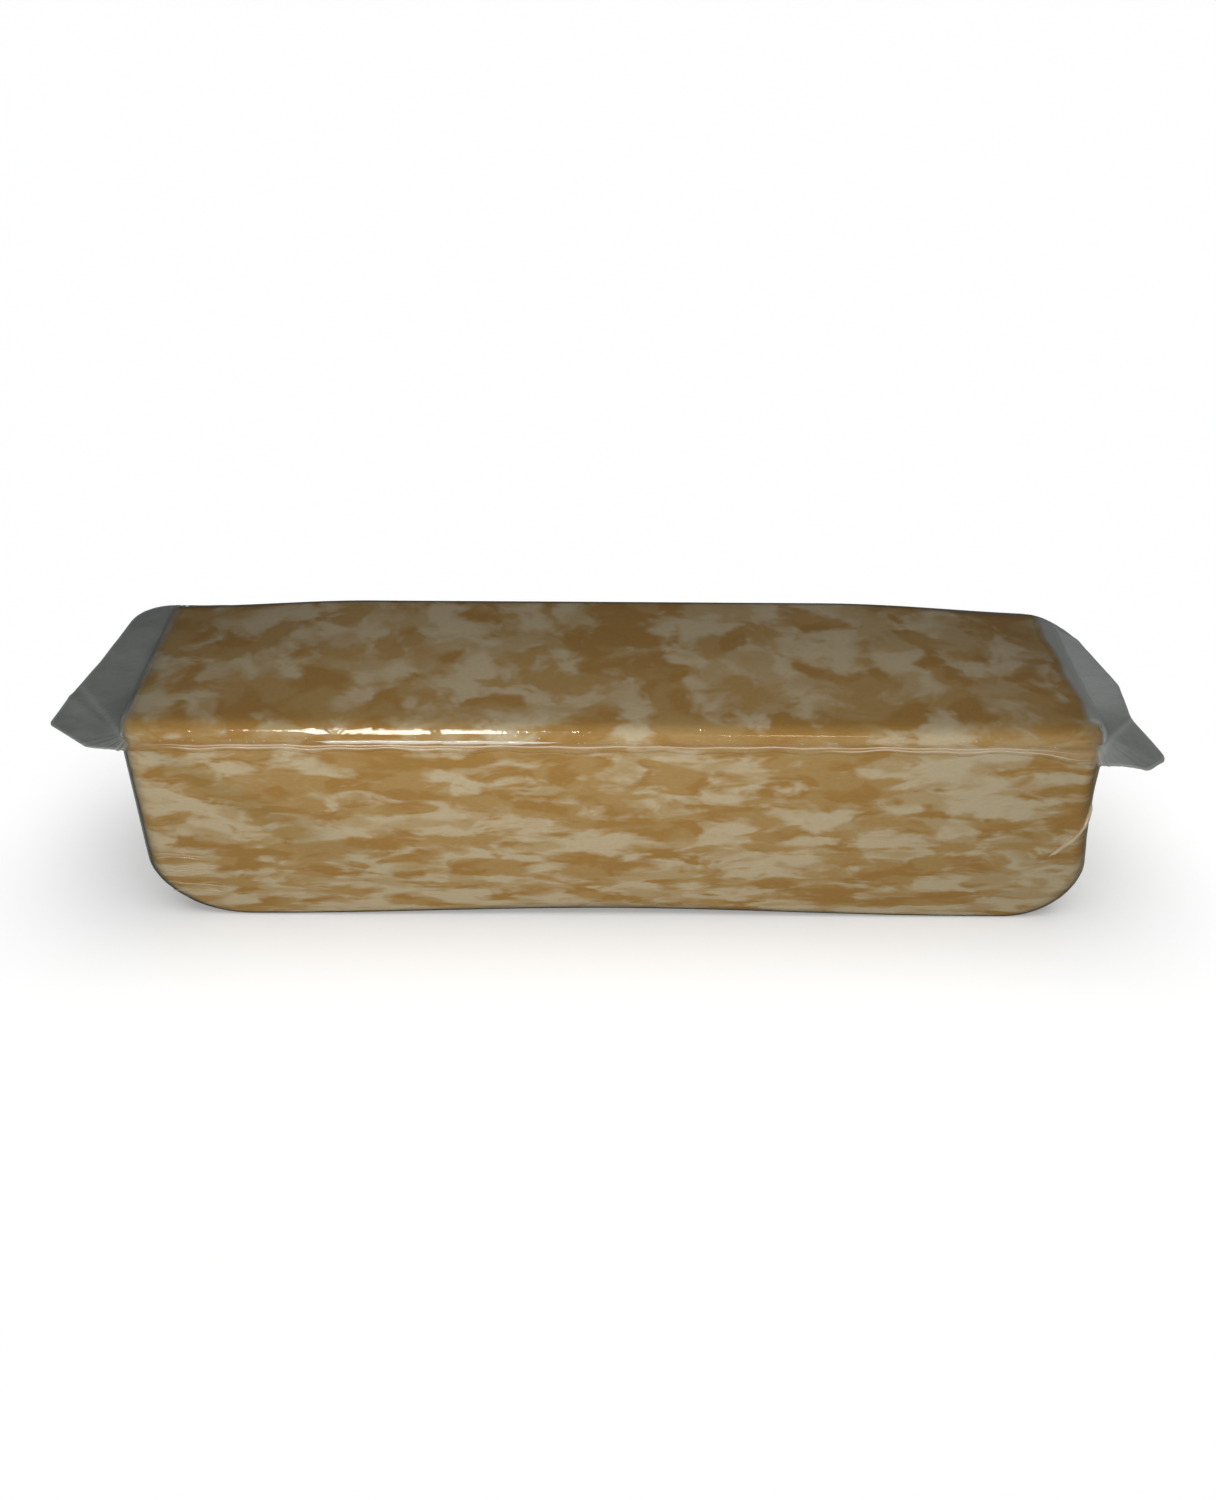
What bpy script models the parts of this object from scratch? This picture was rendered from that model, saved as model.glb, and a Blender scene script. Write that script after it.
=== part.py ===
"""A long block of marbled cheese in a skin-tight vacuum pack, with the pack's sealed edge.

+X runs along the block, -Y is the front face and +Z is up. The block rests on z = 0.
Sizes are in millimetres and the meshes are written in metres.
"""
import math

import bmesh
import bpy

MM = 0.001

# Block
LEFT_SEAM_REACH = 117.7
RIGHT_SEAM_REACH = 118.3
LEFT_FOOT_REACH = 115.9
RIGHT_FOOT_REACH = 118.9
RIGHT_WAIST = 0.9
BLOCK_DEPTH = 65.9
BLOCK_HEIGHT = 57.2
SEAM_HEIGHT = 52.2
LEFT_CORNER_RUN = 24.3
LEFT_CORNER_RISE = 17.5
RIGHT_CORNER_RUN = 18.5
RIGHT_CORNER_RISE = 15.6
LEFT_TOP_RUN = 1.6
RIGHT_TOP_RUN = 4.0
UPRIGHT_EDGE_RADIUS = 3.9
RIGHT_BACK_EDGE_RADIUS = 7.8
CROWN_RUN = 5.0
LOW_EDGE_END_RADIUS = 1.0
LOW_EDGE_MID_RADIUS = 5.0
LOW_EDGE_HALF_SPAN = 89.5
SIDE_DRAFT_DEG = 0.45
BACK_DROOP_LEFT = 2.6
BACK_DROOP_RIGHT = 4.6
BACK_DROOP_SPAN = 53.5
BACK_DROOP_SPAN_RIGHT = 60.0

# Sealed edge
EDGE_GAP = 0.45
EDGE_THICKNESS = 0.5
STRIP_WIDTH = 2.6
BACK_STRIP_WIDTH = 3.5
STRIP_SLOPE = 0.35
STRIP_SLOPE_RIGHT = 1.4
BACK_STRIP_SLOPE_RIGHT = 0.9
STRIP_SLOPE_START = 93.4
STRIP_SLOPE_END = 115.8
BACK_LEVEL_HALF_SPAN = 58.4
RIPPLE = 0.25
RIPPLE_WAVES = ((30.0, 0.4), (13.0, 1.9))
LEFT_TIP = (-136.1, -23.95)
LEFT_LOW = (-124.5, -34.05)
LEFT_FRONT_X = -113.8
LEFT_BEND = (-130.5, 4.0)
LEFT_BACK_X = -126.1
RIGHT_BACK_X = 118.8
RIGHT_BEND = (127.4, -4.9)
RIGHT_NOTCH = (126.4, -20.55)
RIGHT_TIP = (133.7, -29.95)
RIGHT_LOW = (127.9, -34.95)
RIGHT_FRONT_X = 116.8
BACK_FILLET = 12.6
TIP_FILLET = 1.9
LEFT_FOLD = ((-117.2, -30.55), (-133.5, -13.55), 0.12)
RIGHT_FOLD = ((126.4, -20.55), (117.2, -32.45), 0.5)
BACK_FOLD = ((109.0, 38.55), (124.5, 15.25), 0.4)
FOLD_SOFTNESS = 0.6

# Resolution
TOP_STEPS = 22
BOTTOM_STEPS = 22
WALL_STEPS = 5
CORNER_STEPS = 9
TOP_EDGE_STEPS = 3
ROUNDING_ANGLES = (0.0, 18.0, 36.0, 54.0, 72.0, 90.0)
STRIP_STEP = 7.0
HEADING_STEP_DEG = 16.0
FILLET_STEP_DEG = 18.0
EDGE_BANDS = 4
SHARP_ANGLE_DEG = 32.0

HALF_DEPTH = BLOCK_DEPTH / 2.0
CROWN_RISE = BLOCK_HEIGHT - SEAM_HEIGHT


def clear_scene():
    """Remove every object of the scene."""
    for item in list(bpy.data.objects):
        bpy.data.objects.remove(item, do_unlink=True)


def mix(a, b, t):
    """Return the value a share t of the way from a to b."""
    return a + (b - a) * t


def ease(t):
    """Return a smooth 0 to 1 step, level at both ends."""
    t = min(1.0, max(0.0, t))
    return t * t * (3.0 - 2.0 * t)


def low_edge_radius(x):
    """Return the rounding of the long lower edges, larger at mid-length."""
    return mix(LOW_EDGE_MID_RADIUS, LOW_EDGE_END_RADIUS, ease(abs(x) / LOW_EDGE_HALF_SPAN))


def end_reach(side, z):
    """Return how far an end wall reaches from the middle at a height above its lower corner."""
    if side < 0:
        share = (z - LEFT_CORNER_RISE) / (SEAM_HEIGHT - LEFT_CORNER_RISE)
        return mix(LEFT_FOOT_REACH, LEFT_SEAM_REACH, share)
    share = (z - RIGHT_CORNER_RISE) / (SEAM_HEIGHT - RIGHT_CORNER_RISE)
    waist = RIGHT_WAIST * math.sin(math.pi * share)
    return mix(RIGHT_FOOT_REACH, RIGHT_SEAM_REACH, share) - waist


def end_points(side):
    """Return one end of the long profile from the bottom up to the top face.

    Each point is (x, z, cap height, rounding depth). The cap height is the height that the point
    takes on the flat front and back faces, and the depth is how far back its rounding reaches.
    """
    run = LEFT_CORNER_RUN if side < 0 else RIGHT_CORNER_RUN
    rise = LEFT_CORNER_RISE if side < 0 else RIGHT_CORNER_RISE
    top_run = LEFT_TOP_RUN if side < 0 else RIGHT_TOP_RUN
    foot = end_reach(side, rise)
    points = []
    for step in range(CORNER_STEPS):
        turn = math.radians(90.0 * (1.0 - step / CORNER_STEPS))
        x = foot - run * (1.0 - math.cos(turn))
        z = rise * (1.0 - math.sin(turn))
        low = math.sin(turn) ** 2
        radius = mix(UPRIGHT_EDGE_RADIUS, low_edge_radius(x), low)
        points.append((side * x, z, z + radius * math.sin(turn), radius))
    for step in range(WALL_STEPS):
        z = mix(rise, SEAM_HEIGHT, step / WALL_STEPS)
        points.append((side * end_reach(side, z), z, z, UPRIGHT_EDGE_RADIUS))
    reach = end_reach(side, SEAM_HEIGHT)
    for step in range(TOP_EDGE_STEPS):
        turn = math.radians(90.0 * step / TOP_EDGE_STEPS)
        x = reach - top_run * (1.0 - math.cos(turn))
        z = SEAM_HEIGHT + CROWN_RISE * math.sin(turn)
        depth = mix(UPRIGHT_EDGE_RADIUS, CROWN_RUN, math.sin(turn) ** 2)
        points.append((side * x, z, SEAM_HEIGHT, depth))
    return points


def block_profile():
    """Return the closed profile of the block, seen from the front, counter-clockwise."""
    left = end_points(-1)
    right = end_points(1)
    foot_left = LEFT_FOOT_REACH - LEFT_CORNER_RUN
    foot_right = RIGHT_FOOT_REACH - RIGHT_CORNER_RUN
    top_left = LEFT_SEAM_REACH - LEFT_TOP_RUN
    top_right = RIGHT_SEAM_REACH - RIGHT_TOP_RUN
    profile = []
    for step in range(1, BOTTOM_STEPS):
        x = mix(-foot_left, foot_right, step / BOTTOM_STEPS)
        radius = low_edge_radius(x)
        profile.append((x, 0.0, radius, radius))
    profile.extend(right)
    for step in range(TOP_STEPS + 1):
        x = mix(top_right, -top_left, step / TOP_STEPS)
        profile.append((x, BLOCK_HEIGHT, SEAM_HEIGHT, CROWN_RUN))
    profile.extend(reversed(left))
    return profile


def upright_radius(x, y):
    """Return the plan radius of the upright edge in one quarter of the block."""
    return RIGHT_BACK_EDGE_RADIUS if x > 0 and y > 0 else UPRIGHT_EDGE_RADIUS


def back_droop(x):
    """Return how far the top's back edge sinks near each end of the block."""
    left = ease((-x - LEFT_SEAM_REACH + BACK_DROOP_SPAN) / BACK_DROOP_SPAN)
    right = max(0.0, (x - RIGHT_SEAM_REACH) / BACK_DROOP_SPAN_RIGHT + 1.0)
    return BACK_DROOP_LEFT * left + BACK_DROOP_RIGHT * right ** 2


def block_point(point, face_side, turn_deg):
    """Return one vertex of the block: a profile point on one ring of an edge rounding."""
    x, z, cap_z, depth = point
    turn = math.radians(turn_deg)
    inset = 1.0 - math.sin(turn)
    reach = LEFT_SEAM_REACH if x < 0 else RIGHT_SEAM_REACH
    radius = upright_radius(x, face_side)
    extra = (radius - UPRIGHT_EDGE_RADIUS) * ease((x - BACK_DROOP_SPAN) / (reach - BACK_DROOP_SPAN))
    px = x * (1.0 - inset * radius / reach)
    pz = mix(z, cap_z, inset)
    py = face_side * (HALF_DEPTH - (depth + extra) * (1.0 - math.cos(turn)))
    if pz < SEAM_HEIGHT:
        lean = (SEAM_HEIGHT - pz) * math.tan(math.radians(SIDE_DRAFT_DEG))
        py *= 1.0 - lean / HALF_DEPTH
    if face_side > 0:
        above = max(0.0, (pz - SEAM_HEIGHT) / CROWN_RISE)
        pz -= back_droop(px) * above
    return (px * MM, py * MM, pz * MM)


def build_block():
    """Build the packed block as rings of its profile between two flat upright faces."""
    profile = block_profile()
    rings = [(-1, turn) for turn in ROUNDING_ANGLES]
    rings += [(1, turn) for turn in reversed(ROUNDING_ANGLES)]
    body = bmesh.new()
    loops = []
    for face_side, turn in rings:
        loops.append([body.verts.new(block_point(point, face_side, turn)) for point in profile])
    count = len(profile)
    for near, far in zip(loops, loops[1:]):
        for index in range(count):
            follow = (index + 1) % count
            body.faces.new((near[index], far[index], far[follow], near[follow]))
    body.faces.new(loops[0])
    body.faces.new(list(reversed(loops[-1])))
    return finish_mesh(body, "wrapped_cheese_block", cheese_material())


def fillet(before, corner, after, radius):
    """Return the points of an arc that rounds one corner of a flat outline."""
    ax, ay = before[0] - corner[0], before[1] - corner[1]
    bx, by = after[0] - corner[0], after[1] - corner[1]
    la, lb = math.hypot(ax, ay), math.hypot(bx, by)
    ax, ay, bx, by = ax / la, ay / la, bx / lb, by / lb
    half = math.acos(max(-1.0, min(1.0, ax * bx + ay * by))) / 2.0
    reach = radius / math.tan(half)
    mx, my = ax + bx, ay + by
    lm = math.hypot(mx, my)
    cx = corner[0] + mx / lm * radius / math.sin(half)
    cy = corner[1] + my / lm * radius / math.sin(half)
    first = math.atan2(corner[1] + ay * reach - cy, corner[0] + ax * reach - cx)
    last = math.atan2(corner[1] + by * reach - cy, corner[0] + bx * reach - cx)
    sweep = (last - first + math.pi) % (2.0 * math.pi) - math.pi
    steps = max(1, round(abs(math.degrees(sweep)) / FILLET_STEP_DEG))
    arc = []
    for step in range(steps + 1):
        angle = first + sweep * step / steps
        arc.append((cx + radius * math.cos(angle), cy + radius * math.sin(angle)))
    return arc


def edge_outline():
    """Return the outer outline of the sealed edge in plan, counter-clockwise from above."""
    front = -(HALF_DEPTH + STRIP_WIDTH)
    back = HALF_DEPTH + BACK_STRIP_WIDTH
    corners = (
        (LEFT_LOW, BACK_FILLET / 2.0),
        ((LEFT_FRONT_X, front), BACK_FILLET / 2.0),
        ((RIGHT_FRONT_X, front), BACK_FILLET / 2.0),
        (RIGHT_LOW, TIP_FILLET * 2.0),
        (RIGHT_TIP, TIP_FILLET),
        (RIGHT_NOTCH, TIP_FILLET / 2.0),
        (RIGHT_BEND, BACK_FILLET / 2.0),
        ((RIGHT_BACK_X, back), BACK_FILLET),
        ((LEFT_BACK_X, back), BACK_FILLET),
        (LEFT_BEND, BACK_FILLET),
        (LEFT_TIP, TIP_FILLET),
    )
    outline = []
    count = len(corners)
    for index, (corner, radius) in enumerate(corners):
        before = corners[index - 1][0]
        after = corners[(index + 1) % count][0]
        outline.extend(fillet(before, corner, after, radius))
    return split_long_runs(outline)


def split_run(start, end):
    """Return the start of a run and as many points on it as its length and turning need."""
    turn = math.acos(max(-1.0, min(1.0, heading_match(start, end))))
    if math.dist(start, end) <= STRIP_STEP and math.degrees(turn) <= HEADING_STEP_DEG:
        return [start]
    middle = (mix(start[0], end[0], 0.5), mix(start[1], end[1], 0.5))
    return split_run(start, middle) + split_run(middle, end)


def heading_match(start, end):
    """Return the cosine of the angle between the directions out of the block at two points."""
    first = nearest_on_mouth(*start)[1]
    last = nearest_on_mouth(*end)[1]
    return first[0] * last[0] + first[1] * last[1]


def split_long_runs(outline):
    """Return the outline with extra points on its long runs and round the block's corners."""
    points = []
    for index, start in enumerate(outline):
        points.extend(split_run(start, outline[(index + 1) % len(outline)]))
    return points


def nearest_on_mouth(x, y):
    """Return the nearest point of the sealed edge's inner outline and the direction out of it."""
    radius = upright_radius(x, y) + EDGE_GAP
    low_x = -LEFT_SEAM_REACH - EDGE_GAP + radius
    high_x = RIGHT_SEAM_REACH + EDGE_GAP - radius
    half_y = HALF_DEPTH + EDGE_GAP - radius
    core_x = min(high_x, max(low_x, x))
    core_y = min(half_y, max(-half_y, y))
    dx, dy = x - core_x, y - core_y
    length = math.hypot(dx, dy)
    dx, dy = dx / length, dy / length
    return (core_x + dx * radius, core_y + dy * radius), (dx, dy)


def fold_drop(fold, x, y):
    """Return how far a point lies below the flat sheet: the sheet sinks left of the fold line."""
    (ax, ay), (bx, by), slope = fold
    length = math.hypot(bx - ax, by - ay)
    beyond = ((bx - ax) * (y - ay) - (by - ay) * (x - ax)) / length
    return slope * (beyond + math.hypot(beyond, FOLD_SOFTNESS) - FOLD_SOFTNESS) / 2.0


def strip_slope(x, y):
    """Return the fall of the narrow strip along the front or back at one plan point."""
    if y > 0:
        fall = BACK_STRIP_SLOPE_RIGHT if x > 0 else STRIP_SLOPE
        return fall * ease((abs(x) - BACK_LEVEL_HALF_SPAN) / BACK_LEVEL_HALF_SPAN)
    share = ease((x - STRIP_SLOPE_START) / (STRIP_SLOPE_END - STRIP_SLOPE_START))
    return mix(STRIP_SLOPE, STRIP_SLOPE_RIGHT, share)


def edge_height(x, y, out, heading):
    """Return the height of the sealed edge at a plan point a distance out from the block."""
    strip = heading[1] ** 2
    reach = min(out, STRIP_WIDTH)
    z = SEAM_HEIGHT - strip_slope(x, y) * strip * reach
    along = mix(y, x, strip)
    for wavelength, phase in RIPPLE_WAVES:
        z += RIPPLE * reach / STRIP_WIDTH * math.sin(2.0 * math.pi * along / wavelength + phase)
    fold = None
    if y < 0:
        fold = LEFT_FOLD if x < 0 else RIGHT_FOLD
    elif x > 0:
        fold = BACK_FOLD
    if fold:
        z -= fold_drop(fold, x, y) * reach / STRIP_WIDTH
    return z


def build_edge():
    """Build the sealed edge as one thin ring round the mouth of the pack."""
    body = bmesh.new()
    stations = []
    for outer in edge_outline():
        inner, heading = nearest_on_mouth(*outer)
        width = math.dist(inner, outer)
        upper, lower = [], []
        for band in range(EDGE_BANDS + 1):
            share = band / EDGE_BANDS
            x = mix(inner[0], outer[0], share)
            y = mix(inner[1], outer[1], share)
            z = edge_height(x, y, width * share, heading)
            upper.append(body.verts.new((x * MM, y * MM, (z + EDGE_THICKNESS / 2.0) * MM)))
            lower.append(body.verts.new((x * MM, y * MM, (z - EDGE_THICKNESS / 2.0) * MM)))
        stations.append((upper, lower))
    count = len(stations)
    for index, (upper, lower) in enumerate(stations):
        next_upper, next_lower = stations[(index + 1) % count]
        for band in range(EDGE_BANDS):
            body.faces.new((upper[band], upper[band + 1], next_upper[band + 1], next_upper[band]))
            body.faces.new((lower[band], next_lower[band], next_lower[band + 1], lower[band + 1]))
        body.faces.new((upper[0], next_upper[0], next_lower[0], lower[0]))
        body.faces.new((upper[-1], lower[-1], next_lower[-1], next_upper[-1]))
    return finish_mesh(body, "film_seal_flange", film_material())


def finish_mesh(body, name, material):
    """Turn a bmesh into a named object with outward faces, smooth rounds and one material."""
    bmesh.ops.recalc_face_normals(body, faces=body.faces)
    mesh = bpy.data.meshes.new(name)
    body.to_mesh(mesh)
    body.free()
    mesh.shade_smooth()
    mesh.set_sharp_from_angle(angle=math.radians(SHARP_ANGLE_DEG))
    mesh.materials.append(material)
    item = bpy.data.objects.new(name, mesh)
    bpy.context.scene.collection.objects.link(item)
    return item


def plain_material(name, colour, roughness):
    """Return a Principled material with one colour and roughness."""
    material = bpy.data.materials.new(name)
    material.use_nodes = True
    shader = material.node_tree.nodes["Principled BSDF"]
    shader.inputs["Base Color"].default_value = (*colour, 1.0)
    shader.inputs["Roughness"].default_value = roughness
    shader.inputs["Metallic"].default_value = 0.0
    material.diffuse_color = (*colour, 1.0)
    return material


def cheese_material():
    """Return the marbled cheese's mean colour under its clear film."""
    return plain_material("marbled_cheese", (0.50, 0.34, 0.15), 0.35)


def film_material():
    """Return the smoky grey of the two sealed films."""
    return plain_material("clear_film", (0.30, 0.32, 0.30), 0.3)


clear_scene()
build_block()
build_edge()
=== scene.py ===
import logging
import math
from dataclasses import dataclass, field
from enum import Enum

import bmesh
import bpy
import numpy as np
from mathutils import Matrix, Vector


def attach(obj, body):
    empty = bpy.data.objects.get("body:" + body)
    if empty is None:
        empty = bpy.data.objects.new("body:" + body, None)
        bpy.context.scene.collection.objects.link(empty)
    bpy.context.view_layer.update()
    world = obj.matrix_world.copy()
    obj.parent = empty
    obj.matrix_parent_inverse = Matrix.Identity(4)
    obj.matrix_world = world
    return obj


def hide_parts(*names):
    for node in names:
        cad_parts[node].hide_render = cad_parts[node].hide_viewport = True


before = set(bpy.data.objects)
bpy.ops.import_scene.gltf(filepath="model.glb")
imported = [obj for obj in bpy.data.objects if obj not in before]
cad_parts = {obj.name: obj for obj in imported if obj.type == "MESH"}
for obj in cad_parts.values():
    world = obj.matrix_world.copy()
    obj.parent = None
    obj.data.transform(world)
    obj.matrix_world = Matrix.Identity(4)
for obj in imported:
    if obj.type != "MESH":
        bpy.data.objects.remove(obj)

LOG = logging.getLogger("cheese_pack")
MM = 0.001
BODY = "root"
FLOAT = "NodeSocketFloat"
VECTOR = "NodeSocketVector"
MESH = "NodeSocketGeometry"
MATERIAL = "NodeSocketMaterial"
WHITE = (1.0, 1.0, 1.0)
Item = bpy.types.Object
Material = bpy.types.Material
Node = bpy.types.Node
Socket = bpy.types.NodeSocket
Tree = bpy.types.NodeTree
Colour = tuple[float, float, float]
Point = tuple[float, float, float]


class End(Enum):
    """One end of the block, by its sign along X."""

    LEFT = -1
    RIGHT = 1


class Face(Enum):
    """One long upright face of the block, by its sign along Y."""

    FRONT = -1
    BACK = 1


def ease(t: np.ndarray | float) -> np.ndarray:
    """Return a smooth step from 0 to 1.

    Args:
        t: Positions along the step; values outside 0 to 1 are held.

    Returns:
        The eased values.
    """
    t = np.clip(t, 0.0, 1.0)
    return t * t * (3.0 - 2.0 * t)


def ramp(value: np.ndarray | float, start: float, span: float) -> np.ndarray:
    """Return a smooth step from 0 at a start to 1 a span further on."""
    return ease((value - start) / span)


def window(value: np.ndarray | float, rise: tuple, fall: tuple) -> np.ndarray:
    """Return 1 between a rise and a fall, each a start and a span, and 0 outside them."""
    return ramp(value, *rise) * (1.0 - ramp(value, *fall))


def mix(a: float, b: float, t: float) -> float:
    """Return the value a share t of the way from a to b."""
    return a + (b - a) * t


def by_end(left: object, right: object) -> dict:
    """Return a dataclass field with one value for each end of the block."""
    return field(default_factory=lambda: {End.LEFT: left, End.RIGHT: right})


# Shader and geometry trees

class Sheet:
    """A node tree with short calls to add nodes and join them."""

    def __init__(self, tree: Tree) -> None:
        """Take the tree that the nodes go into."""
        self.tree = tree

    def add(self, kind: str, settings: dict | None = None, **inputs: object) -> Node:
        """Add a node and fill its inputs.

        Args:
            kind: The node's type name.
            settings: Properties of the node itself.
            inputs: Socket names, with underscores for spaces, and a value or an output socket.

        Returns:
            The new node.
        """
        node = self.tree.nodes.new(kind)
        for name, value in (settings or {}).items():
            setattr(node, name, value)
        for name, value in inputs.items():
            self.feed(node.inputs[name.replace("_", " ")], value)
        return node

    def feed(self, socket: Socket, value: object) -> None:
        """Set a socket's value, or link it where the value is an output socket.

        Args:
            socket: The input socket.
            value: A value or an output socket.
        """
        if isinstance(value, Socket):
            self.tree.links.new(value, socket)
        else:
            socket.default_value = value

    def math(self, operation: str, *values: object) -> Socket:
        """Add a math node.

        Args:
            operation: The node's operation.
            values: Up to three numbers or output sockets.

        Returns:
            The node's output.
        """
        node = self.add("ShaderNodeMath", {"operation": operation})
        for index, value in enumerate(values):
            self.feed(node.inputs[index], value)
        return node.outputs[0]

    def vector(self, operation: str, *values: object) -> Socket:
        """Add a vector math node and return its vector output.

        Args:
            operation: The node's operation.
            values: Vectors or output sockets.

        Returns:
            The node's vector output.
        """
        node = self.add("ShaderNodeVectorMath", {"operation": operation})
        for index, value in enumerate(values):
            slot = node.inputs["Scale"] if operation == "SCALE" and index == 1 else node.inputs[index]
            self.feed(slot, value)
        return node.outputs[0]

    def step(self, value: object, low: float, high: float) -> Socket:
        """Return a smooth 0 to 1 step of a value between two limits.

        Args:
            value: The value.
            low: Where the step starts.
            high: Where the step ends.

        Returns:
            The stepped value.
        """
        node = self.add("ShaderNodeMapRange", {"interpolation_type": "SMOOTHSTEP"})
        self.feed(node.inputs["Value"], value)
        self.feed(node.inputs["From Min"], low)
        self.feed(node.inputs["From Max"], high)
        return node.outputs["Result"]

    def blend(self, share: object, first: object, second: object) -> Socket:
        """Return a mix of two colours.

        Args:
            share: The second one's share, 0 to 1.
            first: What shows at 0.
            second: What shows at 1.

        Returns:
            The mixed colour.
        """
        node = self.add("ShaderNodeMix", {"data_type": "RGBA"})
        self.feed(node.inputs[0], share)
        self.feed(node.inputs[6], first)
        self.feed(node.inputs[7], second)
        return node.outputs[2]

    def layer(self, share: object, first: object, second: object) -> Socket:
        """Return a mix of two shaders.

        Args:
            share: The second one's share, 0 to 1.
            first: What shows at 0.
            second: What shows at 1.

        Returns:
            The mixed shader.
        """
        node = self.add("ShaderNodeMixShader", Fac=share)
        self.feed(node.inputs[1], first)
        self.feed(node.inputs[2], second)
        return node.outputs[0]

    def attribute(self, name: str) -> Socket:
        """Return a piece's own mask or measure."""
        return self.add("ShaderNodeAttribute", {"attribute_name": name}).outputs["Fac"]

    def ray(self, name: str) -> Socket:
        """Return 1 for one kind of ray and 0 for all others."""
        return self.add("ShaderNodeLightPath").outputs[name]

    def group(self, group: Tree, **inputs: object) -> Node:
        """Add a node group and fill its inputs.

        Args:
            group: The node group.
            inputs: Socket names, as in add, and their values.

        Returns:
            The group's node.
        """
        node = self.add("ShaderNodeGroup", {"node_tree": group})
        for name, value in inputs.items():
            self.feed(node.inputs[name.replace("_", " ")], value)
        return node

    def repeat(self, value: object) -> Socket:
        """Return a vector with one value on all three axes."""
        return self.add("ShaderNodeCombineXYZ", X=value, Y=value, Z=value).outputs[0]


@dataclass(frozen=True)
class NoiseLayer:
    """One layer of noise: how fine it is, and how much smaller detail rides on it."""

    scale: float
    detail: float
    roughness: float = 0.5

    def add(self, sheet: Sheet, place: object, seed: object = None) -> Node:
        """Add the layer to a sheet.

        Args:
            sheet: The sheet.
            place: The vector that the noise reads.
            seed: The fourth coordinate, where the layer has one.

        Returns:
            The noise node.
        """
        node = sheet.add(
            "ShaderNodeTexNoise", Vector=place, Scale=self.scale, Detail=self.detail,
            Roughness=self.roughness)
        if seed is not None:
            node.noise_dimensions = "4D"
            sheet.feed(node.inputs["W"], seed)
        return node


def new_group(name: str, kind: str, inputs: tuple, outputs: tuple) -> tuple:
    """Start a node group with named sockets.

    Args:
        name: The group's name.
        kind: ShaderNodeTree or GeometryNodeTree.
        inputs: (name, socket type, default or None) for each input.
        outputs: (name, socket type) for each output.

    Returns:
        The group, its sheet, the group input node and the group output node.
    """
    group = bpy.data.node_groups.new(name, kind)
    for label, socket_type, default in inputs:
        socket = group.interface.new_socket(name=label, in_out="INPUT", socket_type=socket_type)
        if default is not None:
            socket.default_value = default
    for label, socket_type in outputs:
        group.interface.new_socket(name=label, in_out="OUTPUT", socket_type=socket_type)
    sheet = Sheet(group)
    return group, sheet, sheet.add("NodeGroupInput"), sheet.add("NodeGroupOutput")


def rgba(colour: Colour) -> tuple:
    """Return a colour with full opacity."""
    return (*colour, 1.0)


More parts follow.
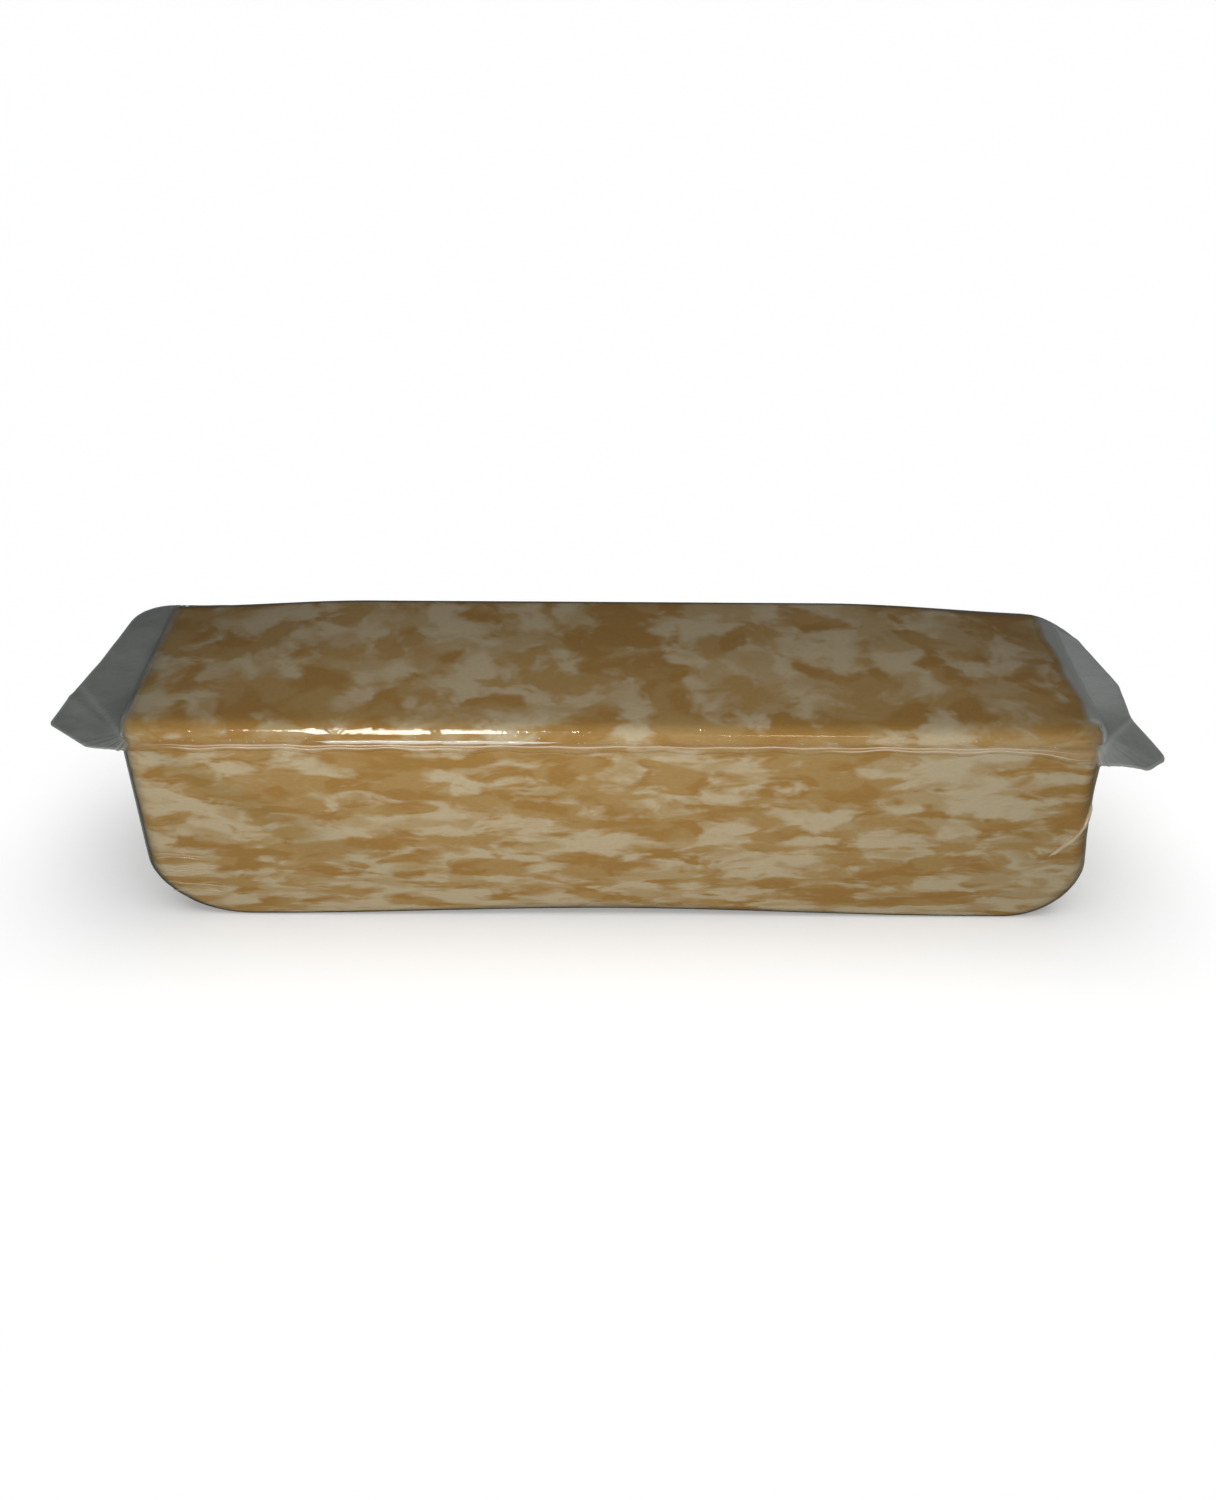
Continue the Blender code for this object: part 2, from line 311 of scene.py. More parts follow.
@dataclass(frozen=True)
class CurdPattern:
    """Pressed curds of two colours, flattened along Z and more so near the underside."""

    drift: NoiseLayer = NoiseLayer(0.85, 1.0)
    drift_reach: float = 0.9
    curds: NoiseLayer = NoiseLayer(1.1, 3.4, 0.56)
    spread: NoiseLayer = NoiseLayer(0.3, 1.0)
    spread_place: Point = (31.0, 7.0, 3.0)
    spread_share: float = 0.35
    streaks: NoiseLayer = NoiseLayer(1.6, 1.0)
    streak_stretch: Point = (0.6, 0.6, 1.7)
    streak_share: float = 0.22
    tones: NoiseLayer = NoiseLayer(1.15, 2.0)
    warm_tone: tuple = ((11.0, 5.0, 17.0), 0.44, 0.56)
    pale_tone: tuple = ((3.0, 23.0, 9.0), 0.46, 0.60)
    mottle: NoiseLayer = NoiseLayer(12.0, 3.0, 0.65)

    def pressed(self, sheet: Sheet, source: Node) -> Socket:
        """Return the position in curd lengths, flattened, and squeezed near the underside.

        Args:
            sheet: The group's sheet.
            source: The group's input node.

        Returns:
            The pressed position.
        """
        parts = sheet.add("ShaderNodeSeparateXYZ", Vector=source.outputs["Vector"])
        height, foot = parts.outputs[2], source.outputs["Foot Height"]
        decay = sheet.math("EXPONENT", sheet.math("DIVIDE", sheet.math("MULTIPLY", height, -1.0), foot))
        squeeze = sheet.math("MULTIPLY", decay, foot)
        squeeze = sheet.math("MULTIPLY", squeeze, source.outputs["Foot Squeeze"])
        tall = sheet.math("SUBTRACT", height, squeeze)
        tall = sheet.math("MULTIPLY", tall, source.outputs["Flattening"])
        place = sheet.add("ShaderNodeCombineXYZ", X=parts.outputs[0], Y=parts.outputs[1], Z=tall)
        return sheet.vector("DIVIDE", place.outputs[0], sheet.repeat(source.outputs["Curd Length"]))

    def group(self) -> Tree:
        """Build the pattern's node group.

        Returns:
            A shader group: pale share, two tone masks and fine mottling from an object position.
        """
        inputs = (
            ("Vector", VECTOR, None),
            ("Curd Length", FLOAT, 0.010),
            ("Flattening", FLOAT, 2.2),
            ("Foot Squeeze", FLOAT, 2.0),
            ("Foot Height", FLOAT, 0.008),
            ("Threshold", FLOAT, 0.5),
            ("Softness", FLOAT, 0.03),
        )
        outputs = (("Pale", FLOAT), ("Warm Tone", FLOAT), ("Pale Tone", FLOAT), ("Mottle", FLOAT))
        group, sheet, source, target = new_group("pressed_curds", "ShaderNodeTree", inputs, outputs)
        cells = self.pressed(sheet, source)
        push = sheet.vector("SUBTRACT", self.drift.add(sheet, cells).outputs["Color"], (0.5, 0.5, 0.5))
        warped = sheet.vector("ADD", cells, sheet.vector("SCALE", push, self.drift_reach))
        value = self.curds.add(sheet, warped).outputs["Fac"]
        spread = self.spread.add(sheet, sheet.vector("ADD", cells, self.spread_place))
        streaks = self.streaks.add(sheet, sheet.vector("MULTIPLY", warped, self.streak_stretch))
        for noise, share in ((spread, self.spread_share), (streaks, self.streak_share)):
            middle = sheet.math("SUBTRACT", noise.outputs["Fac"], 0.5)
            value = sheet.math("MULTIPLY_ADD", middle, share, value)
        value = sheet.math("SUBTRACT", value, source.outputs["Threshold"])
        value = sheet.math("DIVIDE", value, source.outputs["Softness"])
        sheet.feed(target.inputs["Pale"], sheet.step(value, -1.0, 1.0))
        for label, (offset, low, high) in (("Warm Tone", self.warm_tone), ("Pale Tone", self.pale_tone)):
            tone = self.tones.add(sheet, sheet.vector("ADD", warped, offset))
            sheet.feed(target.inputs[label], sheet.step(tone.outputs["Fac"], low, high))
        sheet.feed(target.inputs["Mottle"], self.mottle.add(sheet, cells).outputs["Fac"])
        return group


@dataclass(frozen=True)
class FilmRelief:
    """The slight unevenness of drawn plastic film."""

    wide: NoiseLayer = NoiseLayer(1.0, 2.0)
    fine: NoiseLayer = NoiseLayer(7.0, 2.0)
    haze: NoiseLayer = NoiseLayer(0.4, 3.0, 0.6)
    haze_start: float = 0.4
    haze_full: float = 0.65

    def group(self) -> Tree:
        """Build the relief's node group.

        Returns:
            A shader group: a height and a haze mask from an object position.
        """
        inputs = (
            ("Vector", VECTOR, None),
            ("Wave Length", FLOAT, 0.012),
            ("Fine Share", FLOAT, 0.3),
        )
        outputs = (("Height", FLOAT), ("Haze", FLOAT))
        group, sheet, source, target = new_group("film_relief", "ShaderNodeTree", inputs, outputs)
        place = sheet.vector("DIVIDE", source.outputs["Vector"], sheet.repeat(source.outputs["Wave Length"]))
        wide, fine, haze = (
            noise.add(sheet, place).outputs["Fac"] for noise in (self.wide, self.fine, self.haze))
        height = sheet.math("MULTIPLY_ADD", fine, source.outputs["Fine Share"], wide)
        sheet.feed(target.inputs["Height"], height)
        sheet.feed(target.inputs["Haze"], sheet.step(haze, self.haze_start, self.haze_full))
        return group


def empty_material(name: str) -> tuple[Material, Sheet, Node]:
    """Start a material with only its output node.

    Args:
        name: The material's name.

    Returns:
        The material, its sheet and its output node.
    """
    material = bpy.data.materials.new(name)
    material.use_nodes = True
    material.node_tree.nodes.clear()
    sheet = Sheet(material.node_tree)
    return material, sheet, sheet.add("ShaderNodeOutputMaterial")


# Finishes

@dataclass(frozen=True)
class CheeseFinish:
    """Orange and pale curds pressed into one loaf."""

    deep_orange: Colour = (0.492, 0.300, 0.090)
    light_orange: Colour = (0.540, 0.368, 0.148)
    beige: Colour = (0.588, 0.456, 0.255)
    pale: Colour = (0.675, 0.583, 0.406)
    roughness: float = 0.5
    specular: float = 0.25
    curd_length: float = 0.0148
    flattening: float = 2.46
    threshold: float = 0.497
    softness: float = 0.075
    top_share: float = 0.016
    top_band: tuple = (0.050, 0.056)
    mottle: float = 0.26

    def material(self, curds: Tree) -> Material:
        """Build the cheese.

        Args:
            curds: The curd pattern group.

        Returns:
            The material.
        """
        material, sheet, out = empty_material("pressed_curd_cheese")
        where = sheet.add("ShaderNodeTexCoord").outputs["Object"]
        height = sheet.add("ShaderNodeSeparateXYZ", Vector=where).outputs[2]
        on_top = sheet.step(height, *self.top_band)
        pattern = sheet.group(
            curds, Vector=where, Curd_Length=self.curd_length, Flattening=self.flattening,
            Threshold=sheet.math("MULTIPLY_ADD", on_top, self.top_share, self.threshold),
            Softness=self.softness).outputs
        warm = sheet.blend(pattern["Warm Tone"], rgba(self.deep_orange), rgba(self.light_orange))
        cool = sheet.blend(pattern["Pale Tone"], rgba(self.pale), rgba(self.beige))
        colour = sheet.blend(pattern["Pale"], warm, cool)
        bright = sheet.math("MULTIPLY_ADD", pattern["Mottle"], self.mottle, 1.0 - self.mottle / 2.0)
        shade = sheet.add("ShaderNodeHueSaturation", Value=bright, Color=colour)
        shader = sheet.add(
            "ShaderNodeBsdfPrincipled", Base_Color=shade.outputs[0], Roughness=self.roughness,
            Specular_IOR_Level=self.specular)
        sheet.feed(out.inputs["Surface"], shader.outputs[0])
        return material


@dataclass(frozen=True)
class SkinFinish:
    """Clear glossy film drawn tight over the cheese, greyer where it is seen edge-on."""

    tint: Colour = (0.985, 0.985, 0.975)
    smoke: Colour = (0.19, 0.195, 0.175)
    roughness: float = 0.1
    ior: float = 1.45
    calm_share: float = 0.85
    edge_smoke: float = 0.85
    smoke_start: float = 0.56
    smoke_roughness: float = 0.3
    gather_smoke: float = 0.7
    web_grey: Colour = (0.62, 0.66, 0.64)
    web_smoke: float = 0.97
    wave_length: float = 0.016
    relief: float = 0.0006
    relief_strength: float = 0.35

    def material(self, relief: Tree) -> Material:
        """Build the clear film.

        Args:
            relief: The film relief group.

        Returns:
            The material.
        """
        material, sheet, out = empty_material("clear_film_skin")
        where = sheet.add("ShaderNodeTexCoord").outputs["Object"]
        waves = sheet.group(relief, Vector=where, Wave_Length=self.wave_length).outputs["Height"]
        bump = sheet.add(
            "ShaderNodeBump", Strength=self.relief_strength, Distance=self.relief, Height=waves).outputs[0]
        clear = sheet.add("ShaderNodeBsdfTransparent", Color=rgba(self.tint)).outputs[0]
        gloss = sheet.add(
            "ShaderNodeBsdfAnisotropic", Color=rgba(WHITE), Roughness=self.roughness, Normal=bump)
        fresnel = sheet.add("ShaderNodeFresnel", IOR=self.ior, Normal=bump).outputs[0]
        calm, gather, web = (sheet.attribute(name) for name in ("calm", "gather", "web"))
        gloss_share = sheet.math("MULTIPLY", fresnel, sheet.math("MULTIPLY_ADD", calm, -self.calm_share, 1.0))
        sheen = sheet.layer(gloss_share, clear, gloss.outputs[0])
        grey = sheet.blend(sheet.math("MAXIMUM", gather, web), rgba(self.smoke), rgba(self.web_grey))
        smoky = sheet.add("ShaderNodeBsdfPrincipled", Base_Color=grey, Roughness=self.smoke_roughness)
        facing = sheet.add("ShaderNodeLayerWeight", Blend=0.5).outputs["Facing"]
        grazing = sheet.math("MULTIPLY", sheet.step(facing, self.smoke_start, 1.0), self.edge_smoke)
        cloud = sheet.math("MULTIPLY", grazing, sheet.math("SUBTRACT", 1.0, calm))
        for mask, share in ((gather, self.gather_smoke), (web, self.web_smoke)):
            cloud = sheet.math("MAXIMUM", cloud, sheet.math("MULTIPLY", mask, share))
        surface = sheet.layer(cloud, sheen, smoky.outputs[0])
        sheet.feed(out.inputs["Surface"], sheet.layer(sheet.ray("Is Shadow Ray"), surface, clear))
        return material


@dataclass(frozen=True)
class SealFinish:
    """Two films sealed together: smoky grey in the wings and nearly clear along the block."""

    smoke: Colour = (0.352, 0.382, 0.357)
    # Pale end of the wing's grey, reached by random haze and by painted light that makes the wings paler
    # toward the back and near the block.
    frost: Colour = (0.76, 0.815, 0.795)
    olive: Colour = (0.20, 0.155, 0.085)
    clear: Colour = (0.62, 0.50, 0.36)
    # Painted shade: brown for the dark lines along the strip's outer edge and where it meets the block.
    painted_shade_brown: Colour = (0.22, 0.145, 0.07)
    weld_tone: Colour = (0.78, 0.60, 0.43)
    rim: Colour = (0.70, 0.735, 0.71)
    roughness: float = 0.16
    haze: float = 0.14
    speckle: float = 0.55
    relief_middle: float = 0.65
    # Width of the painted shadow line along the sheet's outer edge, in millimetres.
    painted_edge_shadow_mm: tuple = (0.12, 0.34)
    rim_mm: tuple = (0.3, 0.9)
    rim_share: float = 0.5
    wing_alpha: float = 0.93
    back_alpha: float = 0.85
    strip_alpha: float = 0.05
    # Opacity of the painted shade lines.
    painted_shade_alpha: float = 0.12
    weld_alpha: float = 0.10
    wave_length: float = 0.009
    relief: float = 0.0012
    relief_strength: float = 0.3

    def material(self, relief: Tree) -> Material:
        """Build the sealed film.

        Args:
            relief: The film relief group.

        Returns:
            The material.
        """
        material, sheet, out = empty_material("sealed_film")
        where = sheet.add("ShaderNodeTexCoord").outputs["Object"]
        wing, back, frost, crease, edge, weld, join = (
            sheet.attribute(name)
            for name in ("wing", "back", "frost", "crease", "edge_mm", "weld", "join"))
        pattern = sheet.group(relief, Vector=where, Wave_Length=self.wave_length).outputs
        bump = sheet.add(
            "ShaderNodeBump", Strength=self.relief_strength, Distance=self.relief, Height=pattern["Height"])
        # Painted shade: dark brown lines along the strip's outer edge and where it meets the block.
        painted_edge_shadow = sheet.math("SUBTRACT", 1.0, sheet.step(edge, *self.painted_edge_shadow_mm))
        painted_shade = sheet.math("MAXIMUM", painted_edge_shadow, join)
        strip = sheet.blend(painted_shade, rgba(self.clear), rgba(self.painted_shade_brown))
        strip = sheet.blend(weld, strip, rgba(self.weld_tone))
        # Random haze plus painted light, paler toward the back of the wings and near the block.
        haze = sheet.math("MULTIPLY_ADD", pattern["Haze"], self.haze, frost)
        speckle = sheet.math("SUBTRACT", pattern["Height"], self.relief_middle)
        haze = sheet.math("MULTIPLY_ADD", speckle, self.speckle, haze)
        grey = sheet.blend(haze, rgba(self.smoke), rgba(self.frost))
        rim = sheet.math("SUBTRACT", 1.0, sheet.step(edge, *self.rim_mm))
        light = sheet.math("MAXIMUM", sheet.math("MULTIPLY", rim, self.rim_share), crease)
        grey = sheet.blend(light, grey, rgba(self.rim))
        colour = sheet.blend(wing, strip, grey)
        colour = sheet.blend(back, colour, rgba(self.olive))
        alpha = sheet.math("MULTIPLY_ADD", painted_shade, self.painted_shade_alpha, self.strip_alpha)
        alpha = sheet.math("MULTIPLY_ADD", weld, self.weld_alpha, alpha)
        for mask, share in ((wing, self.wing_alpha), (back, self.back_alpha)):
            alpha = sheet.math("MAXIMUM", alpha, sheet.math("MULTIPLY", mask, share))
        shader = sheet.add(
            "ShaderNodeBsdfPrincipled", Base_Color=colour, Roughness=self.roughness, Alpha=alpha,
            Normal=bump.outputs[0])
        clear = sheet.add("ShaderNodeBsdfTransparent")
        open_share = sheet.math("MULTIPLY", sheet.ray("Is Shadow Ray"), sheet.math("SUBTRACT", 1.0, wing))
        sheet.feed(out.inputs["Surface"], sheet.layer(open_share, shader.outputs[0], clear.outputs[0]))
        return material


@dataclass(frozen=True)
class FoldFinish:
    """A pinched fold or bead of clear film, or a pale tube that paints in a highlight."""

    name: str
    colour: Colour
    alpha: float
    roughness: float

    def material(self) -> Material:
        """Build the fold's material.

        Returns:
            The material.
        """
        material, sheet, out = empty_material(self.name)
        shader = sheet.add(
            "ShaderNodeBsdfPrincipled", Base_Color=rgba(self.colour), Roughness=self.roughness,
            Alpha=self.alpha, Coat_Weight=1.0)
        clear = sheet.add("ShaderNodeBsdfTransparent")
        surface = sheet.layer(sheet.ray("Is Shadow Ray"), shader.outputs[0], clear.outputs[0])
        sheet.feed(out.inputs["Surface"], surface)
        return material


# Form of the pack

@dataclass(frozen=True)
class PackForm:
    """Outer form of the block in its film, in millimetres, as the solid model has it."""

    seam_reach: dict = by_end(117.7, 118.3)
    foot_reach: dict = by_end(115.9, 118.9)
    corner_run: dict = by_end(24.3, 18.5)
    corner_rise: dict = by_end(17.5, 15.6)
    top_run: dict = by_end(1.6, 4.0)
    back_droop: dict = by_end(2.6, 4.6)
    right_waist: float = 0.9
    depth: float = 65.9
    height: float = 57.2
    seam_height: float = 52.2
    upright_radius: float = 3.9
    right_back_radius: float = 7.8
    crown_run: float = 5.0
    low_end_radius: float = 1.0
    low_mid_radius: float = 5.0
    low_half_span: float = 89.5
    draft_deg: float = 0.45
    droop_span: float = 53.5
    droop_span_right: float = 60.0
    top_steps: int = 130
    corner_steps: int = 20
    wall_steps: int = 14
    top_edge_steps: int = 8
    rounding_steps: int = 12
    middle_steps: int = 26
    fine_turns: tuple = ()

    @classmethod
    def for_film(cls) -> "PackForm":
        """Return the same form with the finer mesh that the film's pinches need.

        Returns:
            The form.
        """
        first_turn, turn_step, count = 20.0, 1.3, 21
        turns = tuple(first_turn + turn_step * step for step in range(count))
        return cls(top_steps=440, rounding_steps=18, fine_turns=turns)

    @property
    def half_depth(self) -> float:
        """Half of the block's depth."""
        return self.depth / 2.0

    @property
    def crown_rise(self) -> float:
        """Height of the top face above the seam."""
        return self.height - self.seam_height

    def low_radius(self, x: np.ndarray | float) -> np.ndarray:
        """Return the rounding of the long lower edges at positions along the block."""
        share = ease(np.abs(x) / self.low_half_span)
        return mix(self.low_mid_radius, self.low_end_radius, share)

    def end_reach(self, end: End, z: float) -> float:
        """Return how far an end wall stands from the middle at a height.

        Args:
            end: The end of the block.
            z: Height above the floor, at or above the lower corner's top.

        Returns:
            The distance along X.
        """
        rise = self.corner_rise[end]
        share = (z - rise) / (self.seam_height - rise)
        reach = mix(self.foot_reach[end], self.seam_reach[end], share)
        waist = self.right_waist if end is End.RIGHT else 0.0
        return reach - waist * math.sin(math.pi * share)

    def end_points(self, end: End) -> list:
        """Return one end of the long profile from the bottom up to the top face.

        Args:
            end: The end of the block.

        Returns:
            (x, z, height on the flat long faces, reach of the edge rounding) for each point.
        """
        side = end.value
        run, rise = self.corner_run[end], self.corner_rise[end]
        foot = self.end_reach(end, rise)
        points = []
        for step in range(self.corner_steps):
            turn = math.radians(90.0 * (1.0 - step / self.corner_steps))
            x = foot - run * (1.0 - math.cos(turn))
            z = rise * (1.0 - math.sin(turn))
            radius = mix(self.upright_radius, float(self.low_radius(x)), math.sin(turn) ** 2)
            points.append((side * x, z, z + radius * math.sin(turn), radius))
        for step in range(self.wall_steps):
            z = mix(rise, self.seam_height, step / self.wall_steps)
            points.append((side * self.end_reach(end, z), z, z, self.upright_radius))
        reach = self.end_reach(end, self.seam_height)
        for step in range(self.top_edge_steps):
            turn = math.radians(90.0 * step / self.top_edge_steps)
            x = reach - self.top_run[end] * (1.0 - math.cos(turn))
            z = self.seam_height + self.crown_rise * math.sin(turn)
            depth = mix(self.upright_radius, self.crown_run, math.sin(turn) ** 2)
            points.append((side * x, z, self.seam_height, depth))
        return points

    def profile(self) -> np.ndarray:
        """Return the closed long profile, counter-clockwise from the front.

        Returns:
            (x, z, height on the flat long faces, reach of the edge rounding) for each point.
        """
        feet = {end: self.foot_reach[end] - self.corner_run[end] for end in End}
        tops = {end: self.seam_reach[end] - self.top_run[end] for end in End}
        points = []
        for step in range(1, self.top_steps):
            x = mix(-feet[End.LEFT], feet[End.RIGHT], step / self.top_steps)
            radius = float(self.low_radius(x))
            points.append((x, 0.0, radius, radius))
        points.extend(self.end_points(End.RIGHT))
        for step in range(self.top_steps + 1):
            x = mix(tops[End.RIGHT], -tops[End.LEFT], step / self.top_steps)
            points.append((x, self.height, self.seam_height, self.crown_run))
        points.extend(reversed(self.end_points(End.LEFT)))
        return np.array(points)

    def ring(self, profile: np.ndarray, face: Face, turn_deg: float) -> np.ndarray:
        """Return one ring of the surface.

        Args:
            profile: The long profile.
            face: The long face that the ring belongs to.
            turn_deg: 0 on the flat face and 90 where the rounding ends.

        Returns:
            The ring's points in millimetres.
        """
        x, z, cap_z, depth = profile.T
        turn = math.radians(turn_deg)
        inset = 1.0 - math.sin(turn)
        right = x > 0
        reach = np.where(right, self.seam_reach[End.RIGHT], self.seam_reach[End.LEFT])
        wide = right & (face is Face.BACK)
        radius = np.where(wide, self.right_back_radius, self.upright_radius)
        share = ease((x - self.droop_span) / (reach - self.droop_span))
        depth = depth + (radius - self.upright_radius) * share
        px = x * (1.0 - inset * radius / reach)
        pz = z + (cap_z - z) * inset
        py = face.value * (self.half_depth - depth * (1.0 - math.cos(turn)))
        lean = np.maximum(0.0, self.seam_height - pz) * math.tan(math.radians(self.draft_deg))
        py = py * (1.0 - lean / self.half_depth)
        if face is Face.BACK:
            above = np.maximum(0.0, (pz - self.seam_height) / self.crown_rise)
            pz = pz - self.droop(px) * above
        return np.stack([px, py, pz], axis=-1)

    def droop(self, x: np.ndarray) -> np.ndarray:
        """Return how far the top's back edge sinks at positions along the block.

        Args:
            x: Positions along the block.

        Returns:
            The fall in millimetres.
        """
        left = ease((-x - self.seam_reach[End.LEFT] + self.droop_span) / self.droop_span)
        right = np.maximum(0.0, (x - self.seam_reach[End.RIGHT]) / self.droop_span_right + 1.0)
        return self.back_droop[End.LEFT] * left + self.back_droop[End.RIGHT] * right ** 2

    def surface(self) -> np.ndarray:
        """Return the whole surface as rings from the front face to the back face.

        Returns:
            The points by ring and place in the ring.
        """
        profile = self.profile()
        turns = [90.0 * step / self.rounding_steps for step in range(self.rounding_steps + 1)]
        front = [self.ring(profile, Face.FRONT, turn) for turn in sorted({*turns, *self.fine_turns})]
        back = [self.ring(profile, Face.BACK, turn) for turn in reversed(turns)]
        middle = [
            mix(front[-1], back[0], step / self.middle_steps)
            for step in range(1, self.middle_steps)]
        return np.array(front + middle + back)

    def crown_point(self, x: float, turn_deg: float, lift: float = 0.0) -> Point:
        """Return a point on the front crown, where the lid film bends down to the seam.

        Args:
            x: Position along the block.
            turn_deg: 0 at the top face and 90 at the seam.
            lift: Distance out from the surface.

        Returns:
            The point in millimetres.
        """
        turn = math.radians(turn_deg)
        out_y, out_z = math.sin(turn) / self.crown_run, math.cos(turn) / self.crown_rise
        scale = lift / math.hypot(out_y, out_z)
        y = -(self.half_depth - self.crown_run) - self.crown_run * math.sin(turn) - out_y * scale
        z = self.seam_height + self.crown_rise * math.cos(turn) + out_z * scale
        return (x, y, z)

    def front_point(self, x: float, z: float, lift: float = 0.0) -> Point:
        """Return a point on the front face or on the upright rounding at its ends.

        Args:
            x: Position along the block.
            z: Height.
            lift: Distance out from the surface.

        Returns:
            The point in millimetres.
        """
        end = End.LEFT if x < 0 else End.RIGHT
        radius = self.upright_radius
        start = self.end_reach(end, max(z, self.corner_rise[end])) - radius
        past = min(radius, max(0.0, abs(x) - start))
        back = radius - math.sqrt(max(0.0, radius * radius - past * past))
        lean = (self.seam_height - z) * math.tan(math.radians(self.draft_deg))
        return (x, -(self.half_depth - lean - back + lift), z)


def link_mesh(name: str, vertices: np.ndarray, faces: list, smooth_deg: float = 60.0) -> Item:
    """Make a linked object from points and faces, with outward faces.

    Args:
        name: The object's name.
        vertices: Points in millimetres.
        faces: Lists of point numbers.
        smooth_deg: Edges sharper than this stay crisp.

    Returns:
        The object.
    """
    mesh = bpy.data.meshes.new(name)
    mesh.from_pydata((vertices * MM).tolist(), [], faces)
    body = bmesh.new()
    body.from_mesh(mesh)
    bmesh.ops.recalc_face_normals(body, faces=body.faces)
    body.to_mesh(mesh)
    body.free()
    mesh.shade_smooth()
    mesh.set_sharp_from_angle(angle=math.radians(smooth_deg))
    item = bpy.data.objects.new(name, mesh)
    bpy.context.scene.collection.objects.link(item)
    return item


def shell_faces(rings: int, count: int) -> list:
    """Return the faces of a closed shell of rings with a cap at each end.

    Args:
        rings: Number of rings.
        count: Points in each ring.

    Returns:
        Lists of point numbers.
    """
    faces = [list(range(count)), list(range(rings * count - 1, (rings - 1) * count - 1, -1))]
    for ring in range(rings - 1):
        for index in range(count):
            follow = (index + 1) % count
            near, far = ring * count, (ring + 1) * count
            faces.append([near + index, far + index, far + follow, near + follow])
    return faces


def settle(item: Item, name: str) -> None:
    """Turn an object's live modifiers into a plain mesh and remove them.

    Args:
        item: The object.
        name: The name of the finished mesh.
    """
    bpy.context.view_layer.update()
    view = item.evaluated_get(bpy.context.evaluated_depsgraph_get())
    mesh = bpy.data.meshes.new_from_object(view)
    item.modifiers.clear()
    finish = [material for material in mesh.materials if material]
    mesh.materials.clear()
    mesh.materials.append(finish[0])
    mesh.polygons.foreach_set("material_index", [0] * len(mesh.polygons))
    item.data = mesh
    mesh.name = name


def run_tree(item: Item, tree: Tree, values: dict) -> None:
    """Put a geometry tree on an object and set its named inputs by identifier.

    Args:
        item: The object.
        tree: The geometry tree.
        values: Input names and their values.
    """
    modifier = item.modifiers.new(tree.name, "NODES")
    sockets = {socket.name: socket.identifier for socket in tree.interface.items_tree
               if socket.item_type == "SOCKET" and socket.in_out == "INPUT"}
    modifier.node_group = tree
    for name, value in values.items():
        modifier[sockets[name]] = value


def start_tree(name: str, inputs: tuple) -> tuple:
    """Start a geometry tree that takes a shape, inputs of its own and a material.

    Args:
        name: The tree's name.
        inputs: (name, socket type, default or None) for each input of its own.

    Returns:
        The tree, its sheet, its input node and its output node.
    """
    inputs = (("Geometry", MESH, None), *inputs, ("Material", MATERIAL, None))
    return new_group(name, "GeometryNodeTree", inputs, (("Geometry", MESH),))


def end_tree(sheet: Sheet, source: Node, target: Node, shape: object) -> None:
    """End a geometry tree: make its instances real and give it its material.

    Args:
        sheet: The tree's sheet.
        source: The tree's input node.
        target: The tree's output node.
        shape: The geometry to put out.
    """
    solid = sheet.add("GeometryNodeRealizeInstances", Geometry=shape)
    dressed = sheet.add(
        "GeometryNodeSetMaterial", Geometry=solid.outputs[0], Material=source.outputs["Material"])
    sheet.feed(target.inputs["Geometry"], dressed.outputs[0])


@dataclass(frozen=True)
class SwayTree:
    """The tree that makes loose film wave and pucker.

    Points move along their normals by seeded noise, as far as the named mask lets them.
    """

    noise: NoiseLayer = NoiseLayer(1.0, 1.5)

    def build(self) -> Tree:
        """Build the tree.

        Returns:
            The geometry tree.
        """
        inputs = (
            ("Wave Height", FLOAT, 0.0004),
            ("Wave Length", FLOAT, 0.02),
            ("Stretch", VECTOR, (1.0, 1.0, 1.0)),
            ("Bias", FLOAT, 0.5),
            ("Mask", "NodeSocketString", None),
            ("Seed", FLOAT, 0.0),
        )
        tree, sheet, source, target = start_tree("film_sway", inputs)
        values = source.outputs
        place = sheet.add("GeometryNodeInputPosition").outputs[0]
        place = sheet.vector("MULTIPLY", place, values["Stretch"])
        place = sheet.vector("DIVIDE", place, sheet.repeat(values["Wave Length"]))
        noise = self.noise.add(sheet, place, values["Seed"])
        wave = sheet.math("SUBTRACT", noise.outputs["Fac"], values["Bias"])
        wave = sheet.math("MULTIPLY", wave, values["Wave Height"])
        loose = sheet.add("GeometryNodeInputNamedAttribute", {"data_type": "FLOAT"}, Name=values["Mask"])
        wave = sheet.math("MULTIPLY", wave, loose.outputs["Attribute"])
        normal = sheet.add("GeometryNodeInputNormal").outputs[0]
        shift = sheet.vector("SCALE", normal, wave)
        move = sheet.add("GeometryNodeSetPosition", Geometry=values["Geometry"], Offset=shift)
        end_tree(sheet, source, target, move.outputs[0])
        return tree


